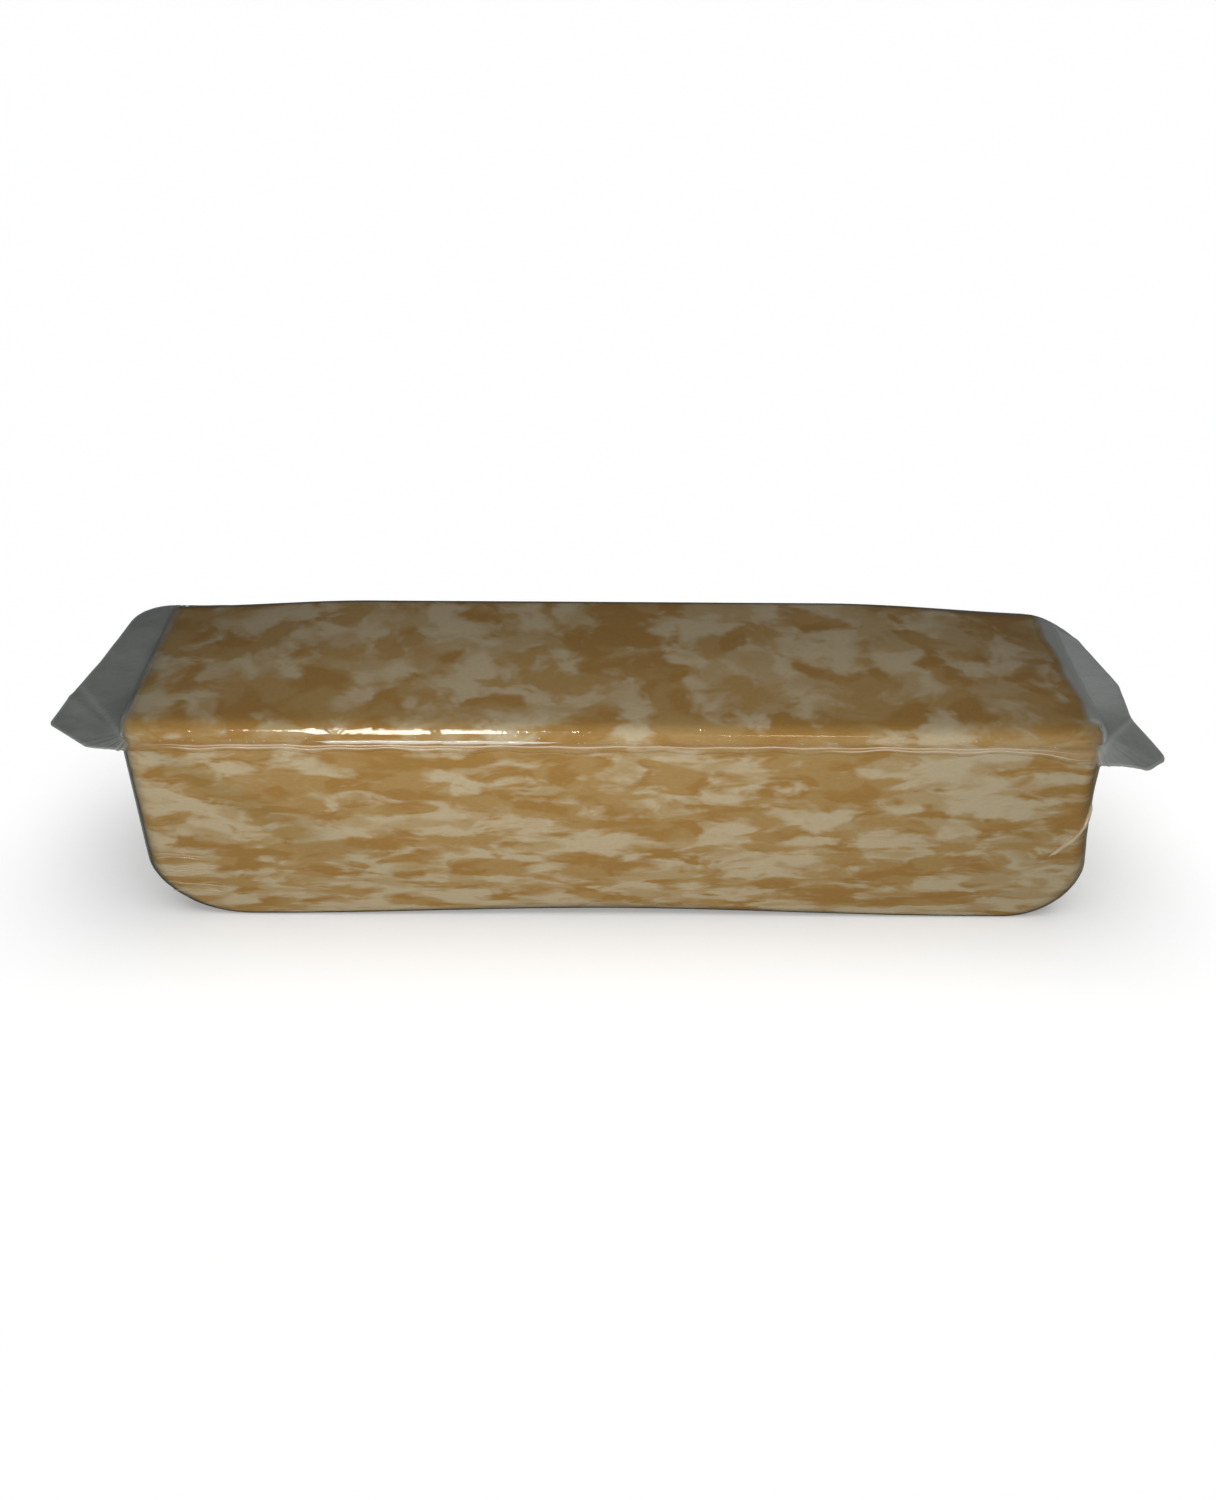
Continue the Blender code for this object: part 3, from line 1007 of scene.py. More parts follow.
@dataclass(frozen=True)
class FoldTree:
    """The tree that turns drawn paths into pinched folds of film, thin at both ends."""

    wander: NoiseLayer = NoiseLayer(1.0, 2.0, 0.6)
    swell_end: float = 0.12
    shrink_start: float = 0.86
    least: float = 0.02
    swell: float = 1.6
    swell_base: float = 0.2
    sides: int = 8

    def build(self) -> Tree:
        """Build the tree.

        Returns:
            The geometry tree.
        """
        inputs = (
            ("Step", FLOAT, 0.0005),
            ("Fold Radius", FLOAT, 0.0003),
            ("Jitter", FLOAT, 0.0004),
            ("Jitter Length", FLOAT, 0.003),
            ("Flatness", FLOAT, 0.5),
            ("Seed", FLOAT, 0.0),
        )
        tree, sheet, source, target = start_tree("film_folds", inputs)
        values = source.outputs
        paths = sheet.add("GeometryNodeMeshToCurve", Mesh=values["Geometry"])
        fine = sheet.add(
            "GeometryNodeResampleCurve", {"mode": "LENGTH"}, Curve=paths.outputs[0], Length=values["Step"])
        place = sheet.add("GeometryNodeInputPosition").outputs[0]
        place = sheet.vector("DIVIDE", place, sheet.repeat(values["Jitter Length"]))
        noise = self.wander.add(sheet, place, values["Seed"])
        shift = sheet.vector("SUBTRACT", noise.outputs["Color"], (0.5, 0.5, 0.5))
        shift = sheet.vector("SCALE", shift, values["Jitter"])
        moved = sheet.add("GeometryNodeSetPosition", Geometry=fine.outputs[0], Offset=shift)
        along = sheet.add("GeometryNodeSplineParameter").outputs["Factor"]
        taper = sheet.math("SUBTRACT", 1.0, sheet.step(along, self.shrink_start, 1.0))
        taper = sheet.math("MULTIPLY", sheet.step(along, 0.0, self.swell_end), taper)
        swell = sheet.math("MULTIPLY_ADD", noise.outputs["Fac"], self.swell, self.swell_base)
        radius = sheet.math("MULTIPLY", sheet.math("MAXIMUM", taper, self.least), swell)
        radius = sheet.math("MULTIPLY", radius, values["Fold Radius"])
        ring = sheet.add("GeometryNodeCurvePrimitiveCircle", Radius=1.0, Resolution=self.sides)
        squash = sheet.add("ShaderNodeCombineXYZ", X=values["Flatness"], Y=1.0, Z=1.0)
        section = sheet.add("GeometryNodeTransform", Geometry=ring.outputs[0], Scale=squash.outputs[0])
        tube = sheet.add(
            "GeometryNodeCurveToMesh", Curve=moved.outputs[0], Profile_Curve=section.outputs[0],
            Scale=radius, Fill_Caps=True)
        smooth = sheet.add("GeometryNodeSetShadeSmooth", Geometry=tube.outputs[0])
        end_tree(sheet, source, target, smooth.outputs[0])
        return tree


@dataclass(frozen=True)
class BeadTree:
    """The tree that strings small air beads of random size along a path."""

    throw: Point = (1.0, 0.06, 0.25)
    subdivisions: int = 2

    def build(self) -> Tree:
        """Build the tree.

        Returns:
            The geometry tree.
        """
        inputs = (
            ("Count", "NodeSocketInt", 60),
            ("Smallest", FLOAT, 0.00012),
            ("Largest", FLOAT, 0.0004),
            ("Scatter", FLOAT, 0.001),
            ("Seed", "NodeSocketInt", 0),
        )
        tree, sheet, source, target = start_tree("air_beads", inputs)
        values = source.outputs
        paths = sheet.add("GeometryNodeMeshToCurve", Mesh=values["Geometry"])
        spots = sheet.add(
            "GeometryNodeCurveToPoints", {"mode": "COUNT"}, Curve=paths.outputs[0], Count=values["Count"])
        throw = sheet.add("FunctionNodeRandomValue", {"data_type": "FLOAT_VECTOR"}, Seed=values["Seed"])
        throw.inputs["Min"].default_value = tuple(-part for part in self.throw)
        throw.inputs["Max"].default_value = self.throw
        shift = sheet.vector("SCALE", throw.outputs["Value"], values["Scatter"])
        moved = sheet.add("GeometryNodeSetPosition", Geometry=spots.outputs[0], Offset=shift)
        size = sheet.add("FunctionNodeRandomValue", {"data_type": "FLOAT"}, Seed=values["Seed"])
        sheet.feed(size.inputs[2], values["Smallest"])
        sheet.feed(size.inputs[3], values["Largest"])
        ball = sheet.add("GeometryNodeMeshIcoSphere", Radius=1.0, Subdivisions=self.subdivisions)
        bead = sheet.add("GeometryNodeSetShadeSmooth", Geometry=ball.outputs[0])
        placed = sheet.add(
            "GeometryNodeInstanceOnPoints", Points=moved.outputs[0], Instance=bead.outputs[0],
            Scale=sheet.repeat(size.outputs[1]))
        end_tree(sheet, source, target, placed.outputs[0])
        return tree


def draw_paths(name: str, paths: list) -> Item:
    """Make an object of open polylines.

    Args:
        name: The object's name.
        paths: Lists of points in millimetres.

    Returns:
        The object.
    """
    vertices, edges = [], []
    for path in paths:
        start = len(vertices)
        vertices.extend(tuple(part * MM for part in point) for point in path)
        edges.extend((start + index, start + index + 1) for index in range(len(path) - 1))
    mesh = bpy.data.meshes.new(name)
    mesh.from_pydata(vertices, edges, [])
    item = bpy.data.objects.new(name, mesh)
    bpy.context.scene.collection.objects.link(item)
    return item


def write_attribute(item: Item, name: str, values: np.ndarray) -> None:
    """Store one number for each vertex of an object's mesh."""
    attribute = item.data.attributes.new(name, "FLOAT", "POINT")
    attribute.data.foreach_set("value", np.asarray(values, dtype=np.float32))


def declare(item: Item, nodes: tuple = ()) -> None:
    """Fix a finished piece to the model's one body.

    Args:
        item: The piece.
        nodes: The solids that it stands for.
    """
    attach(item, BODY)
    if nodes:
        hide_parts(*nodes)
    LOG.info("%s: %d vertices", item.name, len(item.data.vertices))


# Sub-assemblies

@dataclass
class CheeseLoaf:
    """The marbled loaf inside the film."""

    form: PackForm
    finish: CheeseFinish = CheeseFinish()
    film_gap: float = 0.22
    end_gap: dict = by_end((0.5, 0.4), (0.4, 0.6))
    gap_foot: float = 16.0
    gap_start: float = 88.0
    crown_dip: dict = by_end(0.9, 1.35)
    crown_fullness: float = 2.35
    dip_start: float = 8.0
    crown_limit: float = 0.999

    def build(self) -> Item:
        """Build the loaf a little inside the film, further in at the ends.

        Returns:
            The loaf.
        """
        rings = self.form.surface()
        count = rings.shape[1]
        item = link_mesh("cheese_loaf", rings.reshape(-1, 3), shell_faces(len(rings), count))
        mesh = item.data
        normals = np.zeros(len(mesh.vertices) * 3)
        mesh.vertices.foreach_get("normal", normals)
        points = rings.reshape(-1, 3) - normals.reshape(-1, 3) * self.film_gap
        high = ramp(points[:, 2], self.gap_foot, self.form.seam_height - self.gap_foot)
        for end in End:
            low_gap, top_gap = self.end_gap[end]
            gap = mix(low_gap, top_gap, high)
            reach = self.form.seam_reach[end]
            share = ramp(end.value * points[:, 0], self.gap_start, reach - self.gap_start)
            points[:, 0] -= end.value * gap * share
        points[:, 2] = self.crown_height(points)
        mesh.vertices.foreach_set("co", (points * MM).ravel())
        mesh.update()
        return item

    def crown_height(self, points: np.ndarray) -> np.ndarray:
        """Return the heights of the points once the loaf's top falls a little toward its front edge.

        Args:
            points: The loaf's points in millimetres.

        Returns:
            The new heights.
        """
        form = self.form
        x, y, z = points.T
        share = ease(0.5 + x / form.seam_reach[End.RIGHT] / 2.0)
        dip = mix(self.crown_dip[End.LEFT], self.crown_dip[End.RIGHT], share)
        start = form.half_depth - form.crown_run
        run, rise = form.crown_run - self.film_gap, form.crown_rise - self.film_gap
        across = np.clip((-y - start) / run, 0.0, self.crown_limit)
        power = self.crown_fullness
        lean = 1.0 - dip / form.crown_rise * ease((self.dip_start - y) / (self.dip_start + start))
        bend = (rise - dip) * (1.0 - across ** power) ** (1.0 / power) / (rise * np.sqrt(1.0 - across ** 2))
        scale = np.minimum(1.0, np.where(across > 0.0, bend, lean))
        return np.where(z > form.seam_height, form.seam_height + (z - form.seam_height) * scale, z)

    def dress(self, item: Item, curds: Tree) -> None:
        item.data.materials.append(self.finish.material(curds))
        declare(item, ("wrapped_cheese_block",))


@dataclass(frozen=True)
class FilmSway:
    """How far and how finely one loose area of the film waves."""

    mask: str
    height: float
    length: float
    stretch: Point
    bias: float
    seed: float


@dataclass
class FilmSkin:
    """The two films drawn tight round the loaf, as one closed skin.

    A soft step's two numbers are where it starts and its span. A wrinkle spot is a centre, a reach
    and a share, a facet point is a place along the block and half the angle that is pulled flat
    there, and a pinch is a place, a height, a width and a slant.
    """

    form: PackForm
    finish: SkinFinish = SkinFinish()
    corner: FilmSway = FilmSway("loose_corner", 0.0009, 0.006, (0.35, 1.0, 2.4), 0.5, 4.0)
    crown: FilmSway = FilmSway("loose_crown", 0.00007, 0.0040, (0.8, 1.0, 1.0), 0.5, 17.0)
    wrinkle_spots: tuple = (((-107.0, -33.0, 12.0), 17.0, 1.0),)
    right_loose: tuple = (104.0, 12.0)
    right_loose_share: float = 0.35
    web_span: dict = by_end((0.8, 4.2), (3.4, 3.4))
    web_share: dict = by_end(0.68, 1.0)
    crown_web: float = 0.3
    web_rim: float = 1.1
    web_bend: tuple = (8.0, 30.0)
    web_foot: tuple = (-0.6, 0.8)
    web_waves: tuple = ((0.4, 0.27, 0.0), (0.15, 0.6, 1.0))
    calm_foot: tuple = (-4.0, 3.0)
    calm_reach: tuple = (5.0, 4.0)
    gather_depth: float = 0.8
    gather_fade: float = 0.9
    gather_start: float = 22.0
    gather_span: float = 7.0
    gather_rest: float = 0.25
    gather_foot: tuple = (10.0, 10.0)
    gather_top: tuple = (-1.0, 1.5)
    seam_slack: float = 0.01
    crown_span: tuple = ((-78.0, 6.0), (-30.0, 26.0))
    crown_rest: float = 0.3
    sway_turns: tuple = ((30.0, 18.0), (76.0, 12.0))
    facet_turn: float = 57.0
    facets: tuple = (
        (-118.0, 0.0), (-90.0, 0.8), (-74.0, 2.0), (-71.0, 10.0), (-43.2, 10.0), (-42.4, 3.0), (-41.2, 7.0),
        (-25.0, 6.5), (-23.0, 2.5), (-9.0, 2.0), (-4.0, 0.8), (20.0, 1.0), (28.0, 2.6), (56.0, 2.2),
        (62.0, 0.8), (118.0, 0.0))
    facet_jag: float = 0.75
    facet_lower: float = 0.4
    facet_lower_stretch: float = 1.4
    facet_limit: float = 1.2
    facet_reach: float = 120.0
    facet_step: float = 1.3
    seed: int = 5
    pinch_turns: tuple = ((22.0, 24.0), (74.0, 12.0))
    pinch_middle: float = 55.0
    pinches: tuple = (
        (-101.0, 0.07, 0.5, 4.0), (-67.2, 0.12, 0.45, 5.0), (-64.6, 0.08, 0.4, -4.0), (-52.0, 0.05, 0.5, 3.0),
        (-42.4, 0.24, 0.45, 3.0), (-24.4, 0.24, 0.5, 2.0), (-8.2, 0.2, 0.45, 0.0),
        (22.0, 0.3, 0.55, 5.0), (24.2, 0.22, 0.5, -4.0), (81.0, 0.2, 0.5, 8.0), (96.0, 0.16, 0.5, 6.0))

    def crown_turn(self, points: np.ndarray) -> np.ndarray:
        """Return the turn angle round the front crown for each point, and -1 elsewhere.

        Args:
            points: Points in millimetres.

        Returns:
            The turn angles in degrees.
        """
        form = self.form
        across = (-points[:, 1] - (form.half_depth - form.crown_run)) / form.crown_run
        turn = np.degrees(np.arcsin(np.clip(across, 0.0, 1.0)))
        above = points[:, 2] >= form.seam_height - self.seam_slack
        return np.where(above & (across > 0.0), turn, -1.0)

    def pinch(self, points: np.ndarray, normals: np.ndarray) -> np.ndarray:
        """Raise short ridges across the crown, where the lid film is pinched.

        Args:
            points: The skin's points.
            normals: Their directions out of the skin.

        Returns:
            The moved points.
        """
        turn = self.crown_turn(points)
        near = window(turn, *self.pinch_turns)
        points = points + normals * self.facet(points[:, 0], turn)[:, None]
        lift = np.zeros(len(points))
        for x, height, width, slant in self.pinches:
            middle = x + slant * (turn - self.pinch_middle) / self.pinch_middle
            lift = np.maximum(lift, height * np.exp(-((points[:, 0] - middle) / width) ** 2))
        return points + normals * (lift * near)[:, None]

    def facet(self, x: np.ndarray, turn: np.ndarray) -> np.ndarray:
        """Return how far the crown's film lies inside its round where it is pulled flat.

        Args:
            x: Positions along the block.
            turn: Turn angles round the crown, and -1 elsewhere.

        Returns:
            The lift out of the round in millimetres, 0 or less.
        """
        spans = np.array(self.facets)
        half = np.interp(x, spans[:, 0], spans[:, 1])
        knots = np.arange(-self.facet_reach, self.facet_reach, self.facet_step)
        jag = np.random.default_rng(self.seed).uniform(-1.0, 1.0, len(knots))
        half = np.radians(half)
        upper_jag = 0.5 + 0.5 * np.interp(x, knots, jag)
        lower_jag = 0.5 + 0.5 * np.interp(x * self.facet_lower_stretch, knots, jag)
        upper = half * (1.0 - self.facet_jag * upper_jag)
        lower = half * (1.0 - self.facet_lower * self.facet_jag * lower_jag)
        off = np.radians(turn - self.facet_turn)
        held = np.clip(off, -self.facet_limit, self.facet_limit)
        flat = self.form.crown_run * (np.cos(half) / np.cos(held) - 1.0)
        return np.where((turn >= 0.0) & (off > -upper) & (off < lower), flat, 0.0)

    def gather(self, points: np.ndarray) -> np.ndarray:
        """Return how thick the drawn film stands beyond the loaf's ends, from 0 to 1.

        Args:
            points: Points in millimetres.

        Returns:
            The mask.
        """
        form = self.form
        amount = np.zeros(len(points))
        for end in End:
            rise = form.corner_rise[end]
            share = np.clip((points[:, 2] - rise) / (form.seam_height - rise), 0.0, 1.0)
            reach = mix(form.foot_reach[end], form.seam_reach[end], share)
            depth = reach - end.value * points[:, 0]
            wall = 1.0 - ramp(depth, self.gather_depth, self.gather_fade)
            below = 1.0 - ramp(points[:, 2] - form.seam_height, *self.gather_top)
            amount = np.maximum(amount, wall * below * ramp(points[:, 2], *self.gather_foot))
        toward_edge = ramp(np.abs(points[:, 1]), self.gather_start, self.gather_span)
        return amount * mix(self.gather_rest, 1.0, toward_edge)

    def web(self, points: np.ndarray) -> np.ndarray:
        """Return how much of the grey film web covers the top's end edges, from 0 to 1.

        Args:
            points: Points in millimetres.

        Returns:
            The mask.
        """
        form = self.form
        amount = np.zeros(len(points))
        bend = ramp(self.crown_turn(points), *self.web_bend)
        wander = sum(size * np.sin(points[:, 1] * rate + start) for size, rate, start in self.web_waves)
        for end in End:
            reach, (full, fade) = form.seam_reach[end], self.web_span[end]
            near = reach - end.value * points[:, 0] + wander
            share = self.web_share[end] * (1.0 - ramp(near, full, fade))
            share = share * ramp(points[:, 2] - form.seam_height, *self.web_foot)
            inner = ramp(near, self.web_rim, self.web_rim)
            amount = np.maximum(amount, share * (1.0 - (1.0 - self.crown_web) * bend * inner))
        return amount

    def calm(self, points: np.ndarray) -> np.ndarray:
        """Return 1 round the ends of the top, where the film isn't smoky edge-on, and 0 elsewhere.

        Args:
            points: Points in millimetres.

        Returns:
            The mask.
        """
        form = self.form
        near = np.minimum(points[:, 0] + form.seam_reach[End.LEFT], form.seam_reach[End.RIGHT] - points[:, 0])
        high = ramp(points[:, 2] - form.seam_height, *self.calm_foot)
        return high * (1.0 - ramp(near, *self.calm_reach))

    def build(self) -> Item:
        """Build the skin with a mask for each area that is loose.

        Returns:
            The skin, before its geometry trees run.
        """
        rings = self.form.surface()
        item = link_mesh("film_skin", rings.reshape(-1, 3), shell_faces(len(rings), rings.shape[1]))
        points = rings.reshape(-1, 3)
        normals = np.zeros(points.size)
        item.data.vertices.foreach_get("normal", normals)
        moved = self.pinch(points, normals.reshape(-1, 3))
        item.data.vertices.foreach_set("co", (moved * MM).ravel())
        write_attribute(item, "gather", self.gather(points))
        write_attribute(item, "calm", self.calm(points))
        write_attribute(item, "web", self.web(points))
        loose = ramp(points[:, 0], *self.right_loose) * self.right_loose_share
        for centre, reach, share in self.wrinkle_spots:
            away = np.linalg.norm(points - np.array(centre), axis=1)
            loose = np.maximum(loose, share * (1.0 - ease(away / reach)))
        write_attribute(item, self.corner.mask, loose)
        near = window(self.crown_turn(points), *self.sway_turns)
        span = window(points[:, 0], *self.crown_span)
        write_attribute(item, self.crown.mask, near * mix(self.crown_rest, 1.0, span))
        return item

    def dress(self, item: Item, sway: Tree, relief: Tree) -> None:
        """Args:
            item: The skin.
            sway: The sway tree.
            relief: The film relief group.
        """
        material = self.finish.material(relief)
        for wave in (self.corner, self.crown):
            run_tree(item, sway, {
                "Wave Height": wave.height, "Wave Length": wave.length, "Stretch": wave.stretch,
                "Bias": wave.bias, "Mask": wave.mask, "Seed": wave.seed, "Material": material})
        settle(item, "film_skin")
        declare(item, ("wrapped_cheese_block",))


@dataclass(frozen=True)
class FoldLine:
    """A fold across a wing, drawn in plan; the film sinks on its left side."""

    start: tuple
    end: tuple
    fall: float = 0.0

    def beyond(self, x: float, y: float) -> float:
        """Return how far a plan point lies past the line, on its sinking side."""
        (ax, ay), (bx, by) = self.start, self.end
        return ((bx - ax) * (y - ay) - (by - ay) * (x - ax)) / math.hypot(bx - ax, by - ay)


@dataclass
class SealedEdge:
    """The sealed edge: narrow strips along the block and a creased wing at each end.

    A soft step's two numbers are where it starts and its span.
    """

    form: PackForm
    finish: SealFinish = SealFinish()
    overlap: float = 0.1
    thickness: float = 0.36
    strip_width: float = 2.54
    back_strip_width: float = 3.44
    strip_slope: float = 0.35
    strip_slope_right: float = 1.4
    back_slope_right: float = 0.9
    slope_start: float = 93.4
    slope_end: float = 115.8
    back_level_half_span: float = 58.4
    ripple: float = 0.25
    ripple_waves: tuple = ((30.0, 0.4), (13.0, 1.9))
    back_calm: float = 0.35
    back_calm_span: float = 20.0
    wing_calm: float = 0.15
    wing_calm_span: float = 6.0
    left_tip: tuple = (-136.05, -23.95)
    left_low: tuple = (-124.5, -34.05)
    left_front_x: float = -113.8
    left_bend: tuple = (-130.5, 4.0)
    left_back_x: float = -126.1
    right_back_x: float = 118.8
    right_bend: tuple = (127.4, -4.9)
    right_notch: tuple = (126.4, -20.55)
    right_tip: tuple = (133.7, -29.95)
    right_low: tuple = (127.9, -34.95)
    right_front_x: float = 116.8
    back_fillet: float = 12.6
    tip_fillet: float = 1.9
    left_fold: FoldLine = FoldLine((-117.2, -30.55), (-133.5, -13.55), 0.12)
    left_crease: FoldLine = FoldLine((-117.2, -30.55), (-131.6, -9.0))
    right_fold: FoldLine = FoldLine((126.4, -20.55), (117.2, -32.45), 0.5)
    back_fold: FoldLine = FoldLine((109.0, 38.55), (124.5, 15.25), 0.4)
    fold_softness: float = 0.6
    crease_height: float = 0.22
    crease_width: float = 0.7
    crease_strength: float = 0.5
    # Painted light on the wings' grey: paler toward the back and near the block.
    painted_light_near_span: float = 9.0
    painted_light_right: tuple = (0.13, 0.87, 0.05)
    painted_light_right_span: tuple = (-30.0, 26.0)
    painted_light_left: tuple = (0.03, 0.12, 0.2)
    painted_light_left_span: tuple = (-20.0, 20.0)
    painted_light_left_near: tuple = (-10.0, 30.0)
    weld_out: float = 1.15
    weld_width: float = 0.42
    # Painted shade line where the strip meets the block.
    join_shade_out: float = 0.4
    join_shade_width: float = 0.26
    run_step: float = 0.9
    wing_start: float = 113.6
    wing_fade: float = 3.0
    wing_stiffness: float = 0.6
    back_start: tuple = (10.0, 10.0)
    front_span: float = 10.0
    heading_step_deg: float = 2.5
    fillet_step_deg: float = 4.0
    bands: int = 20
    band_power: float = 0.8
    pucker_height: float = 0.00028
    pucker_length: float = 0.007
    seed: float = 9.0

    def fillet(self, before: tuple, corner: tuple, after: tuple, radius: float) -> list:
        """Return the points of an arc that rounds one corner of a flat outline.

        Args:
            before: The corner before.
            corner: The corner.
            after: The corner after.
            radius: The arc's radius.

        Returns:
            The arc's points.
        """
        here = Vector(corner)
        first_way = (Vector(before) - here).normalized()
        last_way = (Vector(after) - here).normalized()
        half = math.acos(max(-1.0, min(1.0, first_way.dot(last_way)))) / 2.0
        reach = radius / math.tan(half)
        centre = here + (first_way + last_way).normalized() * radius / math.sin(half)
        start = here + first_way * reach - centre
        stop = here + last_way * reach - centre
        first, last = math.atan2(start.y, start.x), math.atan2(stop.y, stop.x)
        sweep = (last - first + math.pi) % (2.0 * math.pi) - math.pi
        steps = max(1, round(abs(math.degrees(sweep)) / self.fillet_step_deg))
        return [(centre.x + radius * math.cos(first + sweep * step / steps),
                 centre.y + radius * math.sin(first + sweep * step / steps))
                for step in range(steps + 1)]

    def outline(self) -> list:
        """Return the outer outline in plan, counter-clockwise from above.

        Returns:
            The plan points.
        """
        front = -(self.form.half_depth + self.strip_width)
        back = self.form.half_depth + self.back_strip_width
        corners = (
            (self.left_low, self.back_fillet / 2.0),
            ((self.left_front_x, front), self.back_fillet / 2.0),
            ((self.right_front_x, front), self.back_fillet / 2.0),
            (self.right_low, self.tip_fillet * 2.0),
            (self.right_tip, self.tip_fillet),
            (self.right_notch, self.tip_fillet / 2.0),
            (self.right_bend, self.back_fillet / 2.0),
            ((self.right_back_x, back), self.back_fillet),
            ((self.left_back_x, back), self.back_fillet),
            (self.left_bend, self.back_fillet),
            (self.left_tip, self.tip_fillet),
        )
        points = []
        for index, (corner, radius) in enumerate(corners):
            before = corners[index - 1][0]
            after = corners[(index + 1) % len(corners)][0]
            points.extend(self.fillet(before, corner, after, radius))
        finer = []
        for index, start in enumerate(points):
            finer.extend(self.split_run(start, points[(index + 1) % len(points)]))
        return finer

    def split_run(self, start: tuple, end: tuple) -> list:
        """Return the start of a run and as many points on it as its length and turning need.

        Args:
            start: The run's first plan point.
            end: The run's last plan point.

        Returns:
            The plan points, without the last.
        """
        first, last = self.mouth(*start)[1], self.mouth(*end)[1]
        turn = math.acos(max(-1.0, min(1.0, first[0] * last[0] + first[1] * last[1])))
        if math.dist(start, end) <= self.run_step and math.degrees(turn) <= self.heading_step_deg:
            return [start]
        middle = ((start[0] + end[0]) / 2.0, (start[1] + end[1]) / 2.0)
        return self.split_run(start, middle) + self.split_run(middle, end)

    def mouth(self, x: float, y: float) -> tuple:
        """Return the nearest point of the inner outline and the direction out of it.

        Args:
            x: Plan position along the block.
            y: Plan position across the block.

        Returns:
            The point and the unit direction.
        """
        form = self.form
        radius = form.right_back_radius if x > 0 and y > 0 else form.upright_radius
        radius -= self.overlap
        low_x = -form.seam_reach[End.LEFT] + self.overlap + radius
        high_x = form.seam_reach[End.RIGHT] - self.overlap - radius
        half_y = form.half_depth - self.overlap - radius
        core = (min(high_x, max(low_x, x)), min(half_y, max(-half_y, y)))
        length = math.dist((x, y), core)
        way = ((x - core[0]) / length, (y - core[1]) / length)
        return (core[0] + way[0] * radius, core[1] + way[1] * radius), way

    def slope(self, x: float, y: float) -> float:
        """Return the fall of the narrow strips at one plan point.

        Args:
            x: Plan position along the block.
            y: Plan position across the block.

        Returns:
            The fall for each millimetre out from the block.
        """
        if y > 0:
            level = self.back_level_half_span
            fall = self.back_slope_right if x > 0 else self.strip_slope
            return fall * float(ramp(abs(x), level, level))
        share = float(ramp(x, self.slope_start, self.slope_end - self.slope_start))
        return mix(self.strip_slope, self.strip_slope_right, share)

    def height(self, x: float, y: float, out: float, way: tuple) -> float:
        """Return the height of the sheet at a plan point.

        Args:
            x: Plan position along the block.
            y: Plan position across the block.
            out: Distance out from the block.
            way: Direction out of the block.

        Returns:
            The height in millimetres.
        """
        strip = way[1] ** 2
        reach = min(out, self.strip_width) / self.strip_width
        z = self.form.seam_height - self.slope(x, y) * strip * reach * self.strip_width
        along = mix(y, x, strip)
        ripple = self.ripple * mix(1.0, self.back_calm, float(ramp(y, 0.0, self.back_calm_span)))
        ripple *= mix(1.0, self.wing_calm, float(ramp(abs(x), self.wing_start, self.wing_calm_span)))
        for wavelength, phase in self.ripple_waves:
            z += ripple * reach * math.sin(2.0 * math.pi * along / wavelength + phase)
        fold = None
        if y < 0:
            fold = self.left_fold if x < 0 else self.right_fold
        elif x > 0:
            fold = self.back_fold
        if fold:
            past = fold.beyond(x, y)
            drop = past + math.hypot(past, self.fold_softness) - self.fold_softness
            z -= fold.fall * drop / 2.0 * reach
            z += self.crease_height * reach * math.exp(-(past / self.crease_width) ** 2)
        return z

    def frost(self, x: float, y: float, out: float) -> float:
        """Return how much paler the wing's grey is painted at a plan point, from 0 to 1: painted light, paler
        toward the back and near the block.

        Args:
            x: Plan position along the block.
            y: Plan position across the block.
            out: Distance out from the block.

        Returns:
            The paleness.
        """
        near = 1.0 - float(ramp(out, 0.0, self.painted_light_near_span))
        if x > 0:
            base, far, close = self.painted_light_right
            return base + far * float(ramp(y, *self.painted_light_right_span)) + close * near
        base, far, close = self.painted_light_left
        close *= near * float(ramp(y, *self.painted_light_left_near))
        return base + close + far * float(ramp(y, *self.painted_light_left_span))

    def crease(self, x: float, y: float) -> float:
        """Return the strength of the pale crease line at a plan point, from 0 to 1.

        Args:
            x: Plan position along the block.
            y: Plan position across the block.

        Returns:
            The strength.
        """
        if y >= 0:
            return 0.0
        line = self.left_crease if x < 0 else self.right_fold
        return self.crease_strength * math.exp(-(line.beyond(x, y) / self.crease_width) ** 2)

    def measures(self, x: float, y: float, out: float, width: float) -> dict:
        """Return the masks and measures that the finish and the ripple read at a plan point.

        Args:
            x: Plan position along the block.
            y: Plan position across the block.
            out: Distance out from the block.
            width: Width of the sheet there.

        Returns:
            Attribute names and their values.
        """
        wing = float(ramp(abs(x), self.wing_start, self.wing_fade))
        front = (1.0 - wing) * float(ramp(-y, 0.0, self.front_span))
        return {
            "wing": wing,
            "back": (1.0 - wing) * float(ramp(y, *self.back_start)),
            # painted light on the wings' grey
            "frost": self.frost(x, y, out),
            "crease": self.crease(x, y) * wing,
            "edge_mm": width - out,
            "loose": min(1.0, out / self.strip_width) * (1.0 - self.wing_stiffness * wing),
            "weld": front * math.exp(-((out - self.weld_out) / self.weld_width) ** 2),
            # painted shade line where the strip meets the block
            "join": front * math.exp(-((out - self.join_shade_out) / self.join_shade_width) ** 2),
        }

